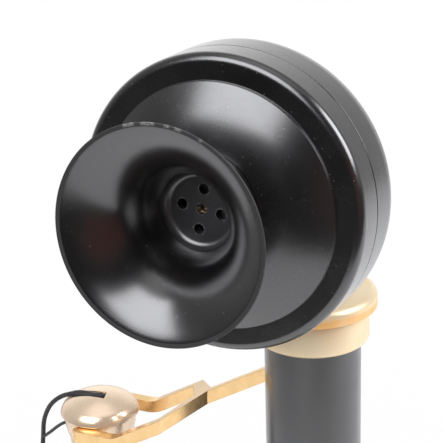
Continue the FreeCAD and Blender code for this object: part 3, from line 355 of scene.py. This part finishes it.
turning_marks = turning_group()
stem_enamel = Finish("black_enamel_stem", black, 0.38)
stem_enamel.patches(50, (0.008, 0.008, 0.0085)).vary("Roughness", 90, 0.32, 0.44).grain(260, 0.06, 0.1)
gloss(stem_enamel, 0.26).on("stem_tube")
stem_radius = 16
press_fit = 0.05
stem_bore = stem_radius + press_fit
ring_radius = 22
ring_base = 58
ring_band = ring_base + 2.5
ring_top = ring_base + 5
foot_ring = stand_lathe("stem_ring", [
    (stem_bore, ring_base), (ring_radius, ring_base), (ring_radius, ring_band), (17.5, ring_top, 6, 1),
    (stem_bore, ring_top), (stem_bore, ring_base)], edge=0.3)
stem_enamel.on(foot_ring)
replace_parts(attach(foot_ring, "stand"), "stem_foot_ring")

# Collar: a brass cap turned from bar, with a broad flange over a grooved band, pressed on the stem. Its
# polish has dulled to a pale satin. A patchy orange band round the flange's lower edge is painted shade
# and painted reflection of the brass in itself.


def brass_finish(name, color, dull, roughness, marks=0, metal=1.0):
    """Brass with a trace of tarnish, and lathe marks of a given strength. Where its old lacquer has gone
    milky, metal is below 1."""
    brass = Finish(name, color, roughness, metal)
    brass.patches(70, dull, 0.35).vary("Roughness", 180, roughness - 0.05, roughness + 0.09)
    if marks:
        brass.relief(brass.effect(turning_marks, Scale=2600), marks, 0.05)
    return brass


def painted_shade_band_group():
    """Painted shade round a turned piece: a patchy mask about one height on its axis, within a reach."""
    group, given, result = effect_group("painted_shade_band", "Mask", "Height", "Reach")
    above = calculate(group, "SUBTRACT", split_xyz(group, given["Vector"])["Z"], given["Height"])
    share = calculate(group, "DIVIDE", calculate(group, "ABSOLUTE", above), given["Reach"])
    patchy = add_node(group, "Group", {"Vector": given["Vector"], "Scale": 130, "Low": 0.35, "High": 1},
                      node_tree=mottling)
    near = spread(group, share, 1, 0.4, kind="SMOOTHSTEP")
    wire(group, calculate(group, "MULTIPLY", near, patchy.outputs["Value"]), result)
    return group


pale_brass = (1.0, 0.84, 0.58)
pale_tarnish = (1.0, 0.7, 0.36)
# Orange for the painted shade and reflection round the collar's flange.
painted_shade_orange = (1.0, 0.54, 0.16)
warm_brass = (0.95, 0.66, 0.33)
warm_tarnish = (0.78, 0.47, 0.18)
collar_base = 219
collar_top = collar_base + 17.5
roof_underside = collar_top - 6.2
perch_bore = 3.9
band_radius = 18.7
band_round = 1.6
groove_radius = 17.9
groove_width = 0.7
flange_radius = 21.3
flange_base = collar_top - 5.8
flange_edge = 0.6
flange_round = 2.6
turned_brass = brass_finish("turned_brass", pale_brass, pale_tarnish, 0.36, marks=0.3, metal=0.4)
# Painted shade and painted reflection: a patchy orange band round the flange's lower edge.
flange_painted_shade = turned_brass.effect(painted_shade_band_group(), Height=(flange_base + 1.2) * mm, Reach=2.6 * mm)
turned_brass.tint(flange_painted_shade, painted_shade_orange)
collar = stand_lathe("stem_collar", [
    (stem_bore, collar_base), (band_radius - band_round, collar_base),
    (band_radius, collar_base + band_round, band_round, 1), (band_radius, flange_base - groove_width),
    (groove_radius, flange_base - groove_width), (groove_radius, flange_base),
    (flange_radius - flange_edge, flange_base), (flange_radius, flange_base + flange_edge, flange_edge, 1),
    (flange_radius, collar_top - flange_round), (flange_radius - flange_round, collar_top, flange_round, 1),
    (perch_bore, collar_top), (perch_bore, roof_underside), (stem_bore, roof_underside),
    (stem_bore, collar_base)], edge=0.18)
turned_brass.on(collar)
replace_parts(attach(collar, "stand"), "collar")

# Switch-hook contacts: springs of bronze strip on a fibre block inside the stem's top, which the hook
# presses together.
bright_contact = Finish("contact_spring", (0.72, 0.6, 0.42), 0.25, 1.0)
bright_contact.vary("Roughness", 500, 0.18, 0.36).patches(260, (0.6, 0.46, 0.28), 0.6)
bright_contact.on("contact_springs", "pulse_springs")

# Perch: a post in black enamel, set through the collar into the stem's plug and forked at the top for
# the transmitter's lug. A brass screw goes through fork and lug, and its knurled nut sets how stiffly
# the transmitter tilts.


def even_shading(piece):
    """Let the large faces lead the shading, so that flats stay flat beside their rounded edges."""
    even = piece.modifiers.new("even", "WEIGHTED_NORMAL")
    even.keep_sharp = True
    bpy.context.view_layer.objects.active = piece
    bpy.ops.object.modifier_apply(modifier=even.name)
    return piece


def eased(node, name, edge):
    """A copy of a node with its edges rounded off, to stand in that node's place."""
    bpy.ops.object.select_all(action="DESELECT")
    copy = bpy.data.objects.new(name, frame["nodes"][node].data.copy())
    bpy.context.scene.collection.objects.link(copy)
    copy.select_set(True)
    bpy.context.view_layer.objects.active = copy
    bpy.ops.mesh.customdata_custom_splitnormals_clear()
    bpy.ops.object.mode_set(mode="EDIT")
    bpy.ops.mesh.select_all(action="SELECT")
    bpy.ops.mesh.remove_doubles(threshold=0.002 * mm)
    bpy.ops.mesh.dissolve_limited(angle_limit=math.radians(0.5))
    bpy.ops.object.mode_set(mode="OBJECT")
    return even_shading(settle(copy, edge))


perch = eased("perch_post", "perch_fork", 0.4)
stem_enamel.on(perch)
screw_brass = brass_finish("screw_brass", warm_brass, warm_tarnish, 0.28)
screw_brass.on("pivot_screw", "pivot_nut", "button_stud")
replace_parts(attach(perch, "stand"), "perch_post")

# Transmitter back: a spun brass cup with a cast lug behind it, turned true and lacquered black. Fine
# lathe rings still show through the lacquer on its side.


def joint_place(name):
    return Vector(next(joint["pos_m"] for joint in frame["joints"] if joint["name"] == name))


pivot = joint_place("transmitter_tilt")
tilt = math.radians(2.2)
aim = Vector((0, -math.cos(tilt), math.sin(tilt)))
aim_turn = (math.pi / 2 - tilt, 0, 0)


def horn_lathe(name, corners, edge, steps=200):
    return even_shading(lathe(name, pivot, aim, outline(*corners), edge, steps))


case = 43
case_wall = 1.5
case_bore = case - case_wall
lacquer = Finish("black_lacquer", black, 0.3, centre=pivot, turn=aim_turn)
lacquer.patches(70, worn_black).vary("Roughness", 120, 0.22, 0.3).grain(900, 0.08, 0.04)
lacquer.relief(lacquer.effect(turning_marks, Scale=1700, Bare=(case - 1) * mm), 0.9, 0.07)
lacquer.tint(lacquer.effect(specks, Scale=900, Size=0.13, Share=0.1), dust)
gloss(lacquer, 0.23)
seam = 57.6
cup_front = seam - 0.3
cup_back = 22
lug_seat = 14
back_bend = 95.3
shoulder_front = 48.7
shoulder_back = (39.49, 40.21)
shoulder_inside = (38.43, 41.27)
shoulder_bend = 12
cup = horn_lathe("transmitter_cup", [
    (0, cup_back), (lug_seat, cup_back), (*shoulder_back, back_bend, 1),
    (case, shoulder_front, shoulder_bend, 1), (case, cup_front), (case_bore, cup_front),
    (case_bore, shoulder_front), (*shoulder_inside, shoulder_bend - case_wall, -1),
    (lug_seat, cup_back + case_wall, back_bend - case_wall, -1), (0, cup_back + case_wall)], edge=0.2)
lug = eased("transmitter_lug", "transmitter_lug_eased", 0.4)
lacquer.on(cup, lug)
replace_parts(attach(cup, "transmitter"), "back_cup")
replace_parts(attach(lug, "transmitter"), "transmitter_lug")

# Transmitter face: a pressed plate with a rounded rim, a flat band and a dome round the horn's neck,
# lacquered with the cup. It closes on the cup at a fine seam.
face = 68.6
rim_round = 2.6
dome = 35.5
dome_bend = 42
dome_foot = face + 0.8
dome_top = face + 7.2
neck = 14.6
faceplate = horn_lathe("transmitter_face", [
    (case_bore, seam), (case, seam), (case, face - rim_round), (case - rim_round, face, rim_round, 1),
    (dome, face), (dome, dome_foot), (neck, dome_top, dome_bend, 1), (neck, dome_top - case_wall),
    (dome - case_wall, dome_foot - case_wall, dome_bend - case_wall, -1),
    (dome - case_wall, face - case_wall), (case_bore, face - case_wall), (case_bore, seam)], edge=0.15)
lacquer.on(faceplate)
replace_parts(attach(faceplate, "transmitter"), "faceplate")

# Carbon capsule: a thin lacquered diaphragm behind the face, clamped over a gasket, with a carbon button
# held against it by a bridge. Only the nut of the button's stud shows, in the grille's middle hole.
thin_sheet = Finish("lacquered_sheet", (0.3, 0.29, 0.27), 0.35, 1.0)
thin_sheet.vary("Roughness", 300, 0.28, 0.5).patches(90, (0.24, 0.23, 0.21), 0.7).on("diaphragm")

# Mouthpiece: a horn turned in black hard rubber and screwed into the face, a little off the dome's middle.
# Its bell has gone satin with handling, its back was never polished, and the thin lip is chipped pale
# along its top.
lip = 101.5
lip_radius = 30.6
lip_edge = 0.35
lip_chips = [(0.355, 0.361), (0.42, 0.437), (0.456, 0.468), (0.502, 0.54), (0.563, 0.594)]
chip_depth = 0.22
chip_fade = 0.003


def lip_group():
    """Chips along a lip: a mask that is 1 past the height Edge, in short stretches round the Z axis. The
    stretches are shares of a half turn from the X axis."""
    group, given, result = effect_group("lip_chips", "Mask", "Scale", "Edge")
    split = split_xyz(group, given["Vector"])
    bearing = calculate(group, "ARCTAN2", split["Y"], split["X"])
    stretches = add_node(group, "ValToRGB", {"Fac": calculate(group, "DIVIDE", bearing, math.pi)})
    stops = stretches.color_ramp.elements
    stops[0].color = stops[1].color = (0, 0, 0, 1)
    for start, end in lip_chips:
        for place, level in ((start - chip_fade, 0), (start, 1), (end, 1), (end + chip_fade, 0)):
            stops.new(place).color = (level, level, level, 1)
    noise = add_node(group, "TexNoise", {"Vector": given["Vector"], "Scale": given["Scale"], "Detail": 5})
    ragged = spread(group, noise.outputs["Fac"], 0.3, 0.6)
    past = calculate(group, "GREATER_THAN", split["Z"], given["Edge"])
    here = calculate(group, "MULTIPLY", stretches.outputs["Color"], past)
    wire(group, calculate(group, "MULTIPLY", here, ragged), result)
    return group


def rim_group():
    """The part of a surface that lies past the height Edge along Z: a mask that is 1 there."""
    group, given, result = effect_group("worn_rim", "Mask", "Edge")
    height = split_xyz(group, given["Vector"])["Z"]
    wire(group, calculate(group, "GREATER_THAN", height, given["Edge"]), result)
    return group


aim_up = Vector((0, math.sin(tilt), math.cos(tilt)))
off_middle = 1.2
horn_seat = pivot + (aim_up - side_x) * off_middle * mm
ebonite = (0.0034, 0.0034, 0.0038)
worn_ebonite = (0.006, 0.006, 0.0066)
bare_ebonite = (0.24, 0.23, 0.215)
hard_rubber = Finish("hard_rubber_horn", ebonite, 0.24, centre=horn_seat, turn=aim_turn)
hard_rubber.patches(60, worn_ebonite).vary("Roughness", 110, 0.2, 0.27)
hard_rubber.relief(hard_rubber.effect(turning_marks, Scale=900), 0.08, 0.06)
hard_rubber.tint(hard_rubber.effect(specks, Scale=900, Size=0.12, Share=0.12), dust)
chips = hard_rubber.effect(lip_group(), Scale=1400, Edge=(lip - chip_depth) * mm)
worn_rim = hard_rubber.effect(rim_group(), Edge=(lip - lip_edge) * mm)
gloss(hard_rubber.tint(chips, bare_ebonite), 0.21).matt(worn_rim, 0.65)
shoulder = dome_top + 0.1
ledge = 73
grille_front = 75.5
fillet = 2.2
throat = 11.2
screw_bore = 8.5
screw_radius = neck - 1.8
screw_end = shoulder - 7
waist = 17
waist_end = shoulder + 4.8
outer_bend = 33
inner_bend = 29


def seated_lathe(name, corners, edge, steps):
    return lathe(name, horn_seat, aim, outline(*corners, turn=4), edge, steps)


horn = seated_lathe("horn_mouthpiece", [
    (screw_bore, screw_end), (screw_radius, screw_end), (screw_radius, shoulder), (waist, shoulder),
    (waist, waist_end), (lip_radius, lip - lip_edge, outer_bend, -1),
    (lip_radius - lip_edge, lip, lip_edge, 1), (throat, grille_front + fillet, inner_bend, 1),
    (throat, ledge), (screw_bore, ledge), (screw_bore, screw_end)], edge=0.25, steps=240)
hard_rubber.on(horn)
rough_rubber = Finish("hard_rubber_back", ebonite, 0.6, centre=horn_seat, turn=aim_turn)
rough_rubber.patches(60, worn_ebonite).vary("Roughness", 110, 0.55, 0.65)
horn.data.materials.append(rough_rubber.material)
backward = -0.02
for polygon in horn.data.polygons:
    if polygon.normal.dot(aim) < backward:
        polygon.material_index = 1
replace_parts(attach(horn, "transmitter"), "mouthpiece")

# Grille: a hard-rubber disc at the bottom of the throat, dished up to its wall, with five sound holes. A
# pale ring round each hole's edge is a painted highlight. It drops in from the front.


def carve(piece, cutter):
    """Cut the shape of another object out of a piece, and remove that object."""
    cut = piece.modifiers.new("cut", "BOOLEAN")
    cut.operation = "DIFFERENCE"
    cut.solver = "EXACT"
    cut.object = cutter
    bpy.context.view_layer.objects.active = piece
    bpy.ops.object.modifier_apply(modifier=cut.name)
    bpy.data.objects.remove(cutter)
    piece.select_set(True)


grille_radius = throat - 0.03
grille = seated_lathe("throat_grille", [
    (0, ledge), (grille_radius, ledge), (grille_radius, grille_front + fillet),
    (grille_radius - fillet, grille_front, fillet, -1), (0, grille_front)], edge=0, steps=160)
first_hole = math.radians(-8.2)
hole_circle = 5.9
hole_radius = 1.5
hole_depth = 8
hole_spots = [(0, 0)]
for quarter in range(4):
    angle = first_hole + quarter * math.pi / 2
    hole_spots.append((hole_circle * math.cos(angle), hole_circle * math.sin(angle)))
for across, high in hole_spots:
    bpy.ops.object.select_all(action="DESELECT")
    bpy.ops.mesh.primitive_cylinder_add(
        vertices=48, radius=hole_radius * mm, depth=hole_depth * mm,
        location=horn_seat + (aim * (ledge + 1) + side_x * across + aim_up * high) * mm,
        rotation=aim.to_track_quat("Z", "Y").to_euler())
    carve(grille, bpy.context.object)
even_shading(settle(grille, edge=0))


def hole_highlight_group(highlight_width):
    """Painted highlights round the sound holes: a mask that is 1 within the highlight's width round each
    hole.
    """
    group, given, result = effect_group("hole_rim_highlight", "Mask")
    flat = flattened(group, given["Vector"])
    nearest, *others = [measure(group, "DISTANCE", flat, (across * mm, high * mm, 0))
                        for across, high in hole_spots]
    for other in others:
        nearest = calculate(group, "MINIMUM", nearest, other)
    noise = add_node(group, "TexNoise", {"Vector": given["Vector"], "Scale": 1500})
    reach = spread(group, noise.outputs["Fac"], 0.4, 0.65, hole_radius * mm, (hole_radius + highlight_width) * mm)
    within = calculate(group, "LESS_THAN", nearest, reach)
    outside = calculate(group, "GREATER_THAN", nearest, (hole_radius + 0.03) * mm)
    wire(group, calculate(group, "MULTIPLY", within, outside), result)
    return group


dull_rubber = Finish("hard_rubber_grille", (0.018, 0.018, 0.0195), 0.4, centre=horn_seat, turn=aim_turn)
dull_rubber.patches(220, (0.026, 0.026, 0.028)).vary("Roughness", 160, 0.3, 0.42)
dull_rubber.tint(dull_rubber.effect(specks, Scale=900, Size=0.12, Share=0.12), dust)
# Painted highlight: a pale ring round the edge of each sound hole.
dull_rubber.tint(dull_rubber.effect(hole_highlight_group(highlight_width=0.55)), (0.11, 0.11, 0.115))
gloss(dull_rubber, 0.24).on(grille)
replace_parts(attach(grille, "transmitter"), "mouth_grille")

# Switch hook: a forked lever cut from flat brass and polished, on a pin inside the stem. Two prongs
# take the receiver's neck.
polished_brass = brass_finish("polished_brass", warm_brass, warm_tarnish, 0.18)
hook = eased("switch_hook", "fork_hook", 0.45)
polished_brass.on(hook)
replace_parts(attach(hook, "hook"), "switch_hook")

# Receiver tail: a domed brass cap turned from bar and polished, with a channel in its top where the
# cord lies. It hangs in the fork by its rim.
receiver_x = -83.7
tail_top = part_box("tail_cap")[1].z / mm
hang_point = Vector((receiver_x * mm, 0, tail_top * mm))


def receiver_lathe(name, corners, edge, steps=140):
    return lathe(name, hang_point, up, outline(*corners), edge, steps)


tail_end = -24
tail_neck = 11.3
tail_body = 12.9
tail_rim = 14.35
rim_edge = 13.9
rim_seat = -8.75
tail = receiver_lathe("receiver_tail", [
    (0, tail_end), (tail_neck, tail_end), (tail_neck, -18), (tail_body, -11, 18, 1), (tail_body, rim_seat),
    (rim_edge, rim_seat), (tail_rim, -8.2, 0.6, 1), (rim_edge, -6.8, 5, 1), (11.4, -4.1, 5.5, 1),
    (0, -0.8, 21.3, 1)], edge=0.2)


def cord_line(name, route):
    """Points along the smooth line that a cord takes between the points of its route."""
    curve = bpy.data.curves.new(name, "CURVE")
    curve.dimensions = "3D"
    curve.resolution_u = 12
    spline = curve.splines.new("NURBS")
    spline.points.add(len(route) - 1)
    for point, place in zip(spline.points, route):
        point.co = (*(Vector(place) * mm), 1)
    spline.order_u = 3
    spline.use_endpoint_u = True
    holder = bpy.data.objects.new(name, curve)
    bpy.context.scene.collection.objects.link(holder)
    bpy.context.view_layer.update()
    bare = bpy.data.meshes.new_from_object(holder)
    line = [vertex.co.copy() for vertex in bare.vertices]
    bpy.data.objects.remove(holder)
    bpy.data.meshes.remove(bare)
    return line


def cord_tube(name, line, *radii, sides=14):
    """A round tube along a line, with a UV map that runs round it and along it. Its radius goes evenly
    through the given ones from end to end."""
    rings, faces = [], []
    normal = up.cross(line[1] - line[0]).normalized()
    steps = [0.0]
    for before, after in zip(line, line[1:]):
        steps.append(steps[-1] + (after - before).length)
    for index, place in enumerate(line):
        before, after = line[max(index - 1, 0)], line[min(index + 1, len(line) - 1)]
        ahead = (after - before).normalized()
        normal = (normal - ahead * normal.dot(ahead)).normalized()
        other = ahead.cross(normal)
        share = steps[index] / steps[-1] * (len(radii) - 1)
        first = min(int(share), len(radii) - 1)
        second = min(first + 1, len(radii) - 1)
        radius = radii[first] + (radii[second] - radii[first]) * (share - first)
        for k in range(sides):
            angle = 2 * math.pi * k / sides
            rings.append(place + (normal * math.cos(angle) + other * math.sin(angle)) * radius * mm)
    for index in range(len(line) - 1):
        for k in range(sides):
            first, second = index * sides + k, index * sides + (k + 1) % sides
            faces.append((first, second, second + sides, first + sides))
    faces.append(tuple(range(sides - 1, -1, -1)))
    faces.append(tuple(range((len(line) - 1) * sides, len(line) * sides)))
    mesh = bpy.data.meshes.new(name)
    mesh.from_pydata(rings, [], faces)
    uv = mesh.uv_layers.new(name="along")
    for polygon in mesh.polygons:
        for loop in polygon.loop_indices:
            vertex = mesh.loops[loop].vertex_index
            turn = (vertex % sides) / sides
            if turn == 0 and polygon.index % sides == sides - 1:
                turn = 1.0
            uv.data[loop].uv = (turn, steps[vertex // sides] / mm)
    tube = bpy.data.objects.new(name, mesh)
    bpy.context.scene.collection.objects.link(tube)
    bpy.ops.object.select_all(action="DESELECT")
    tube.select_set(True)
    bpy.context.view_layer.objects.active = tube
    return settle(tube, edge=0)


sleeve_line = cord_line("sleeve_route", [
    (-80.2, -1.4, 181.75), (-82, -1.8, 181.6), (-84, -2.1, 181.4), (-86.2, -2.3, 181.15),
    (-88.9, -2.3, 180.75), (-91.5, -2.2, 180.35), (-94.9, -2, 179.9)])
channel = 2.05
carve(tail, cord_tube("tail_channel", sleeve_line, channel, sides=32))
even_shading(settle(tail, edge=0))
tail_brass = brass_finish("receiver_brass", (1.0, 0.79, 0.6), (0.93, 0.72, 0.47), 0.22, metal=0.55)
tail_brass.on(tail)
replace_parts(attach(tail, "receiver"), "tail_cap")

# Receiver shell and ear cap: hard rubber turned to a long bell, with a screwed cap that is dished for
# the ear round one sound hole.
receiver_rubber = Finish("hard_rubber_receiver", (0.008, 0.008, 0.009), 0.34, centre=hang_point)
receiver_rubber.patches(60, (0.012, 0.012, 0.013)).vary("Roughness", 110, 0.28, 0.4)
receiver_rubber.relief(receiver_rubber.effect(turning_marks, Scale=900), 0.08, 0.06)
receiver_rubber.tint(receiver_rubber.effect(specks, Scale=420, Size=0.13, Share=0.05), dust)
gloss(receiver_rubber, 0.2)
mouth = 26
mouth_end = -116
bell_end = -112
bell_bend = 200
shell_wall = 2.5
shell_neck = 11.2
neck_floor = -40
shell = receiver_lathe("receiver_bell", [
    (0, tail_end), (0, neck_floor), (shell_neck - shell_wall, neck_floor),
    (mouth - shell_wall, bell_end, bell_bend - shell_wall, 1), (mouth - shell_wall, mouth_end),
    (mouth, mouth_end), (mouth, bell_end), (shell_neck, -30, bell_bend, -1), (shell_neck, tail_end),
    (0, tail_end)], edge=0.3)
cap_bore = mouth + press_fit
cap_radius = 29.5
cap_start = -106
cap_edge = 1
ear_hole = 5
ear_rim = 23
ear_cap = receiver_lathe("receiver_cap", [
    (cap_bore, cap_start), (cap_bore, -116.5), (ear_hole, -117.5), (ear_hole, -119.9), (ear_rim, -124, 60, 1),
    (cap_radius, -118, 6.9, 1), (cap_radius, cap_start - cap_edge),
    (cap_radius - cap_edge, cap_start, cap_edge, 1), (cap_bore, cap_start)], edge=0.35)
receiver_rubber.on(shell, ear_cap)
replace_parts(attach(shell, "receiver"), "receiver_shell")
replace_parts(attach(ear_cap, "receiver"), "ear_cap")

# Cord sleeve: a whipped and waxed end on the cord, thick where it grips the cord and knotted at its end,
# lying in the tail's channel.
sleeve_radii = (0.5, 1.15, 1.2, 1.0, 1.0, 1.25, 1.6, 1.75, 1.75, 1.7, 1.5, 1.15, 0.9)
sleeve = cord_tube("cord_end_sleeve", sleeve_line, *sleeve_radii)
waxed_thread = Finish("waxed_thread", (0.02, 0.02, 0.024), 0.5, centre=hang_point, turn=(0, math.pi / 2, 0))
waxed_thread.vary("Roughness", 500, 0.4, 0.6).patches(400, (0.035, 0.033, 0.034))
waxed_thread.grain(1800, 0.6, 0.15).on(sleeve)
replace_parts(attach(sleeve, "receiver"), "cord_sleeve")

# Receiver cord: two conductors in one round black cotton braid. It leaves the sleeve over the tail's
# edge, hangs down beside the receiver, and lies round the foot to its bushing. A thin stay ties it to
# the tail, so that its wires aren't pulled.
cord_radius = 0.85
floor_lie = cord_radius
cord_route = [
    (-94.7, -2, 179.92), (-96.9, -2, 179.1), (-98.9, -2, 178), (-101.2, -2, 176.3), (-103.7, -2, 173.7),
    (-105.6, -1.6, 170.7), (-107.1, -1.3, 167.5), (-108, -1, 164.6), (-108.7, -0.5, 161), (-109.5, 0, 156.5),
    (-112, 0, 140), (-114.2, 0.8, 120), (-118, 1.6, 92), (-119.6, 2, 64), (-119.2, 3, 38), (-118.6, 6, 18),
    (-118.2, 15, 5.4), (-119.4, 30, floor_lie), (-119.8, 50, floor_lie), (-112.5, 72, floor_lie),
    (-98, 90, floor_lie), (-78, 102, floor_lie), (-55, 109, floor_lie), (-32, 108, floor_lie),
    (-10, 102, floor_lie), (12, 102, floor_lie), (31, 106.5, floor_lie), (44, 104.5, 2.4), (49, 94.5, 5.2),
    (44.3, 83.4, 7), (39.4, 74.2, 7)]
line = cord_line("receiver_cord_route", cord_route)
cord = cord_tube("receiver_cord_braid", line, cord_radius)
stay_radius = 0.6
stay_line = cord_line("stay_route", [
    (-94, -4.6, 170.2), (-97, -4, 168.8), (-101, -2.8, 165.6), (-105.2, -1.4, 161.6), (-108.9, -0.4, 158.6)])
stay = cord_tube("cord_stay", stay_line, stay_radius)


def braid(finish, turns, pitch):
    """A height and mask for a braid: strands that cross both ways, laid on the piece's UV map."""
    tree = finish.tree
    place = split_xyz(tree, add_node(tree, "UVMap", uv_map="along").outputs["UV"])
    climb = calculate(tree, "MULTIPLY", place["Y"], 2 * math.pi / pitch)
    strands = []
    for lean in (1, -1):
        phase = calculate(tree, "MULTIPLY_ADD", place["X"], lean * turns * 2 * math.pi, climb)
        strands.append(calculate(tree, "SINE", phase))
    return calculate(tree, "MAXIMUM", *strands)


cotton_braid = Finish("black_cotton_braid", (0.014, 0.014, 0.017), 0.75)
cotton_weave = braid(cotton_braid, turns=6, pitch=0.9)
cotton_braid.tint(cotton_weave, (0.03, 0.031, 0.036)).relief(cotton_weave, 0.7, 0.18)
cotton_braid.put("Sheen Weight", 0.25).on(cord, stay)
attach(stay, "receiver")
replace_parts(cord, "receiver_cord")
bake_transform(cord)

# Dial: a brass bezel, finger stop, wheel and card ring, stamped and polished, over a number plate in white
# vitreous enamel. The wheel turns with its card and shaft, and the rest is fixed in the cup of the foot.
dial_brass = brass_finish("dial_brass", warm_brass, warm_tarnish, 0.3)
for node, body, edge in (("dial_bezel", "stand", 0.4), ("finger_stop", "stand", 0.25),
                         ("finger_wheel", "dial", 0.3), ("card_ring", "dial", 0.2)):
    dial_piece = eased(node, node + "_eased", edge)
    dial_brass.on(dial_piece)
    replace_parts(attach(dial_piece, body), node)
white_enamel = Finish("white_enamel", (0.78, 0.77, 0.72), 0.22)
white_enamel.patches(60, (0.72, 0.7, 0.63), 0.6).vary("Roughness", 200, 0.16, 0.3).on("number_plate")
paper_card = Finish("paper_card", (0.74, 0.7, 0.6), 0.8)
paper_card.patches(140, (0.64, 0.58, 0.46), 0.5).grain(1500, 0.2, 0.05).on("number_card")

# Dial numbers: a thin layer of black enamel fired on the number plate, 1 to 9 and 0 in turn, one under
# each finger hole.
dial_middle = joint_place("dial_turn")
dial_lean = math.radians(45)
dial_up = Vector((0, math.cos(dial_lean), math.sin(dial_lean)))
dial_out = Vector((0, -math.sin(dial_lean), math.cos(dial_lean)))
finger_pitch = 30
number_circle = 23.5
number_size = 6.2
plate_top = -4.2
print_thickness = 0.06
numbers = []
for place in range(10):
    angle = math.radians(finger_pitch * (place + 1))
    across = math.cos(angle) * number_circle
    high = math.sin(angle) * number_circle
    bpy.ops.object.select_all(action="DESELECT")
    bpy.ops.object.text_add()
    number = bpy.context.object
    number.data.body = str((place + 1) % 10)
    number.data.size = number_size * mm
    number.data.align_x = "CENTER"
    number.data.align_y = "CENTER"
    number.data.extrude = print_thickness / 2 * mm
    bpy.ops.object.convert(target="MESH")
    number.location = dial_middle + (side_x * across + dial_up * high + dial_out * plate_top) * mm
    number.rotation_euler = (dial_lean, 0, 0)
    bpy.ops.object.transform_apply(location=True, rotation=True, scale=True)
    numbers.append(number)
bpy.ops.object.select_all(action="DESELECT")
for number in numbers:
    number.select_set(True)
bpy.context.view_layer.objects.active = numbers[0]
bpy.ops.object.join()
dial_numbers = bpy.context.object
dial_numbers.name = dial_numbers.data.name = "dial_numbers"
fired_black = Finish("fired_black", (0.008, 0.008, 0.009), 0.25)
fired_black.vary("Roughness", 300, 0.2, 0.32).patches(200, (0.014, 0.014, 0.015)).on(dial_numbers)
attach(dial_numbers, "stand")

# Studio floor: a plain pale sheet that runs out to white. The camera sees it brightened, the more so the
# further from the telephone, and the telephone mirrors it as it is.
floor_place = (-0.014, 0.792, -0.0003)
floor_size = (2.14, 2.1, 1)
bpy.ops.object.select_all(action="DESELECT")
bpy.ops.mesh.primitive_plane_add(size=1, location=floor_place, rotation=(0, 0, math.radians(-45)))
floor = bpy.context.object
floor.name = "studio_floor"
floor.scale = floor_size
bpy.ops.object.transform_apply(location=True, rotation=True, scale=True)
pale = Finish("pale_floor", (0.86, 0.86, 0.86), 0.9)
brightening = spread(pale.tree, measure(pale.tree, "LENGTH", pale.where), 0.15, 0.5, 0.85, 1)
to_camera = add_node(pale.tree, "LightPath").outputs["Is Camera Ray"]
glow = add_node(pale.tree, "Emission").outputs["Emission"]
run_out = add_node(pale.tree, "MixShader", {"Fac": calculate(pale.tree, "MULTIPLY", brightening, to_camera),
                                            1: pale.shader.outputs["BSDF"], 2: glow})
wire(pale.tree, run_out.outputs["Shader"], pale.tree.nodes["Material Output"].inputs["Surface"])
pale.on(floor)

# Studio room: what the black lacquer mirrors, apart from the lamps. A bright wall stands behind the
# telephone, a pale ceiling above it and a piece of red-brown furniture to the front right. The camera
# sees only white.
world = bpy.data.worlds.new("studio")
bpy.context.scene.world = world
world.use_nodes = True
sky = world.node_tree
direction = add_node(sky, "TexCoord").outputs["Generated"]
seen = add_node(sky, "LightPath").outputs["Is Camera Ray"]


def facing(bearing, dark, full, low, high):
    """A value that grows from low to high as a ray turns towards a bearing, in degrees from the X axis."""
    turn = math.radians(bearing)
    toward = measure(sky, "DOT_PRODUCT", direction, (math.cos(turn), math.sin(turn), 0))
    return spread(sky, toward, dark, full, low, high)


white = (1, 1, 1, 1)
red_brown = (1, 0.45, 0.38, 1)
wall = calculate(sky, "MAXIMUM", facing(120, dark=0.3, full=1, low=0, high=1.1),
                 facing(120, dark=-0.6, full=0.3, low=0.03, high=0.35))
wood_bearing, wood_start, wood_full = -35, 0.82, 0.97
wood = facing(wood_bearing, wood_start, wood_full, low=0, high=0.24)
ceiling = spread(sky, split_xyz(sky, direction)["Z"], 0.8, 1, kind="SMOOTHSTEP")
strength = seen
for part in (wall, wood, ceiling):
    strength = calculate(sky, "MAXIMUM", strength, part)
wood_share = facing(wood_bearing, wood_start, wood_full, low=0, high=1)
redness = calculate(sky, "SUBTRACT", wood_share, seen, clamp=True)
tone = add_node(sky, "Mix", {"Factor": redness, "A": white, "B": red_brown}, data_type="RGBA")
room = sky.nodes["Background"]
wire(sky, strength, room.inputs["Strength"])
wire(sky, tone.outputs["Result"], room.inputs["Color"])

# Studio lamps and camera: two wide soft lamps, in front and at the side, and a camera where the photograph
# was taken.
lit_place = Vector((0, -0.03, 0.26))
lamp_distance = 1.5


def softbox(name, bearing, rise, width, height, power):
    """A soft lamp that faces the telephone, at a bearing from the X axis and a rise from the floor."""
    turn, lift = math.radians(bearing), math.radians(rise)
    toward = Vector((math.cos(turn) * math.cos(lift), math.sin(turn) * math.cos(lift), math.sin(lift)))
    lamp = bpy.data.lights.new(name, "AREA")
    lamp.shape = "RECTANGLE"
    lamp.size = width
    lamp.size_y = height
    lamp.energy = power
    lamp.color = (0.955, 0.96, 1.0)
    holder = bpy.data.objects.new(name, lamp)
    bpy.context.scene.collection.objects.link(holder)
    holder.location = lit_place + toward * lamp_distance
    holder.rotation_euler = toward.to_track_quat("Z", "Y").to_euler()


softbox("key_lamp", bearing=-103, rise=41, width=1.12, height=1.0, power=19)
softbox("side_lamp", bearing=8, rise=33, width=1.0, height=0.9, power=21.5)
camera = bpy.data.cameras.new("photo_camera")
camera.lens = 121.775
camera.sensor_width = 36
viewer = bpy.data.objects.new("photo_camera", camera)
bpy.context.scene.collection.objects.link(viewer)
viewer.location = (0.17239, -0.41677, 0.42849)
viewer.rotation_euler = [math.radians(angle) for angle in (69.4831, 1.5915, 25.5595)]
bpy.context.scene.camera = viewer
bpy.context.scene.view_settings.view_transform = "Standard"
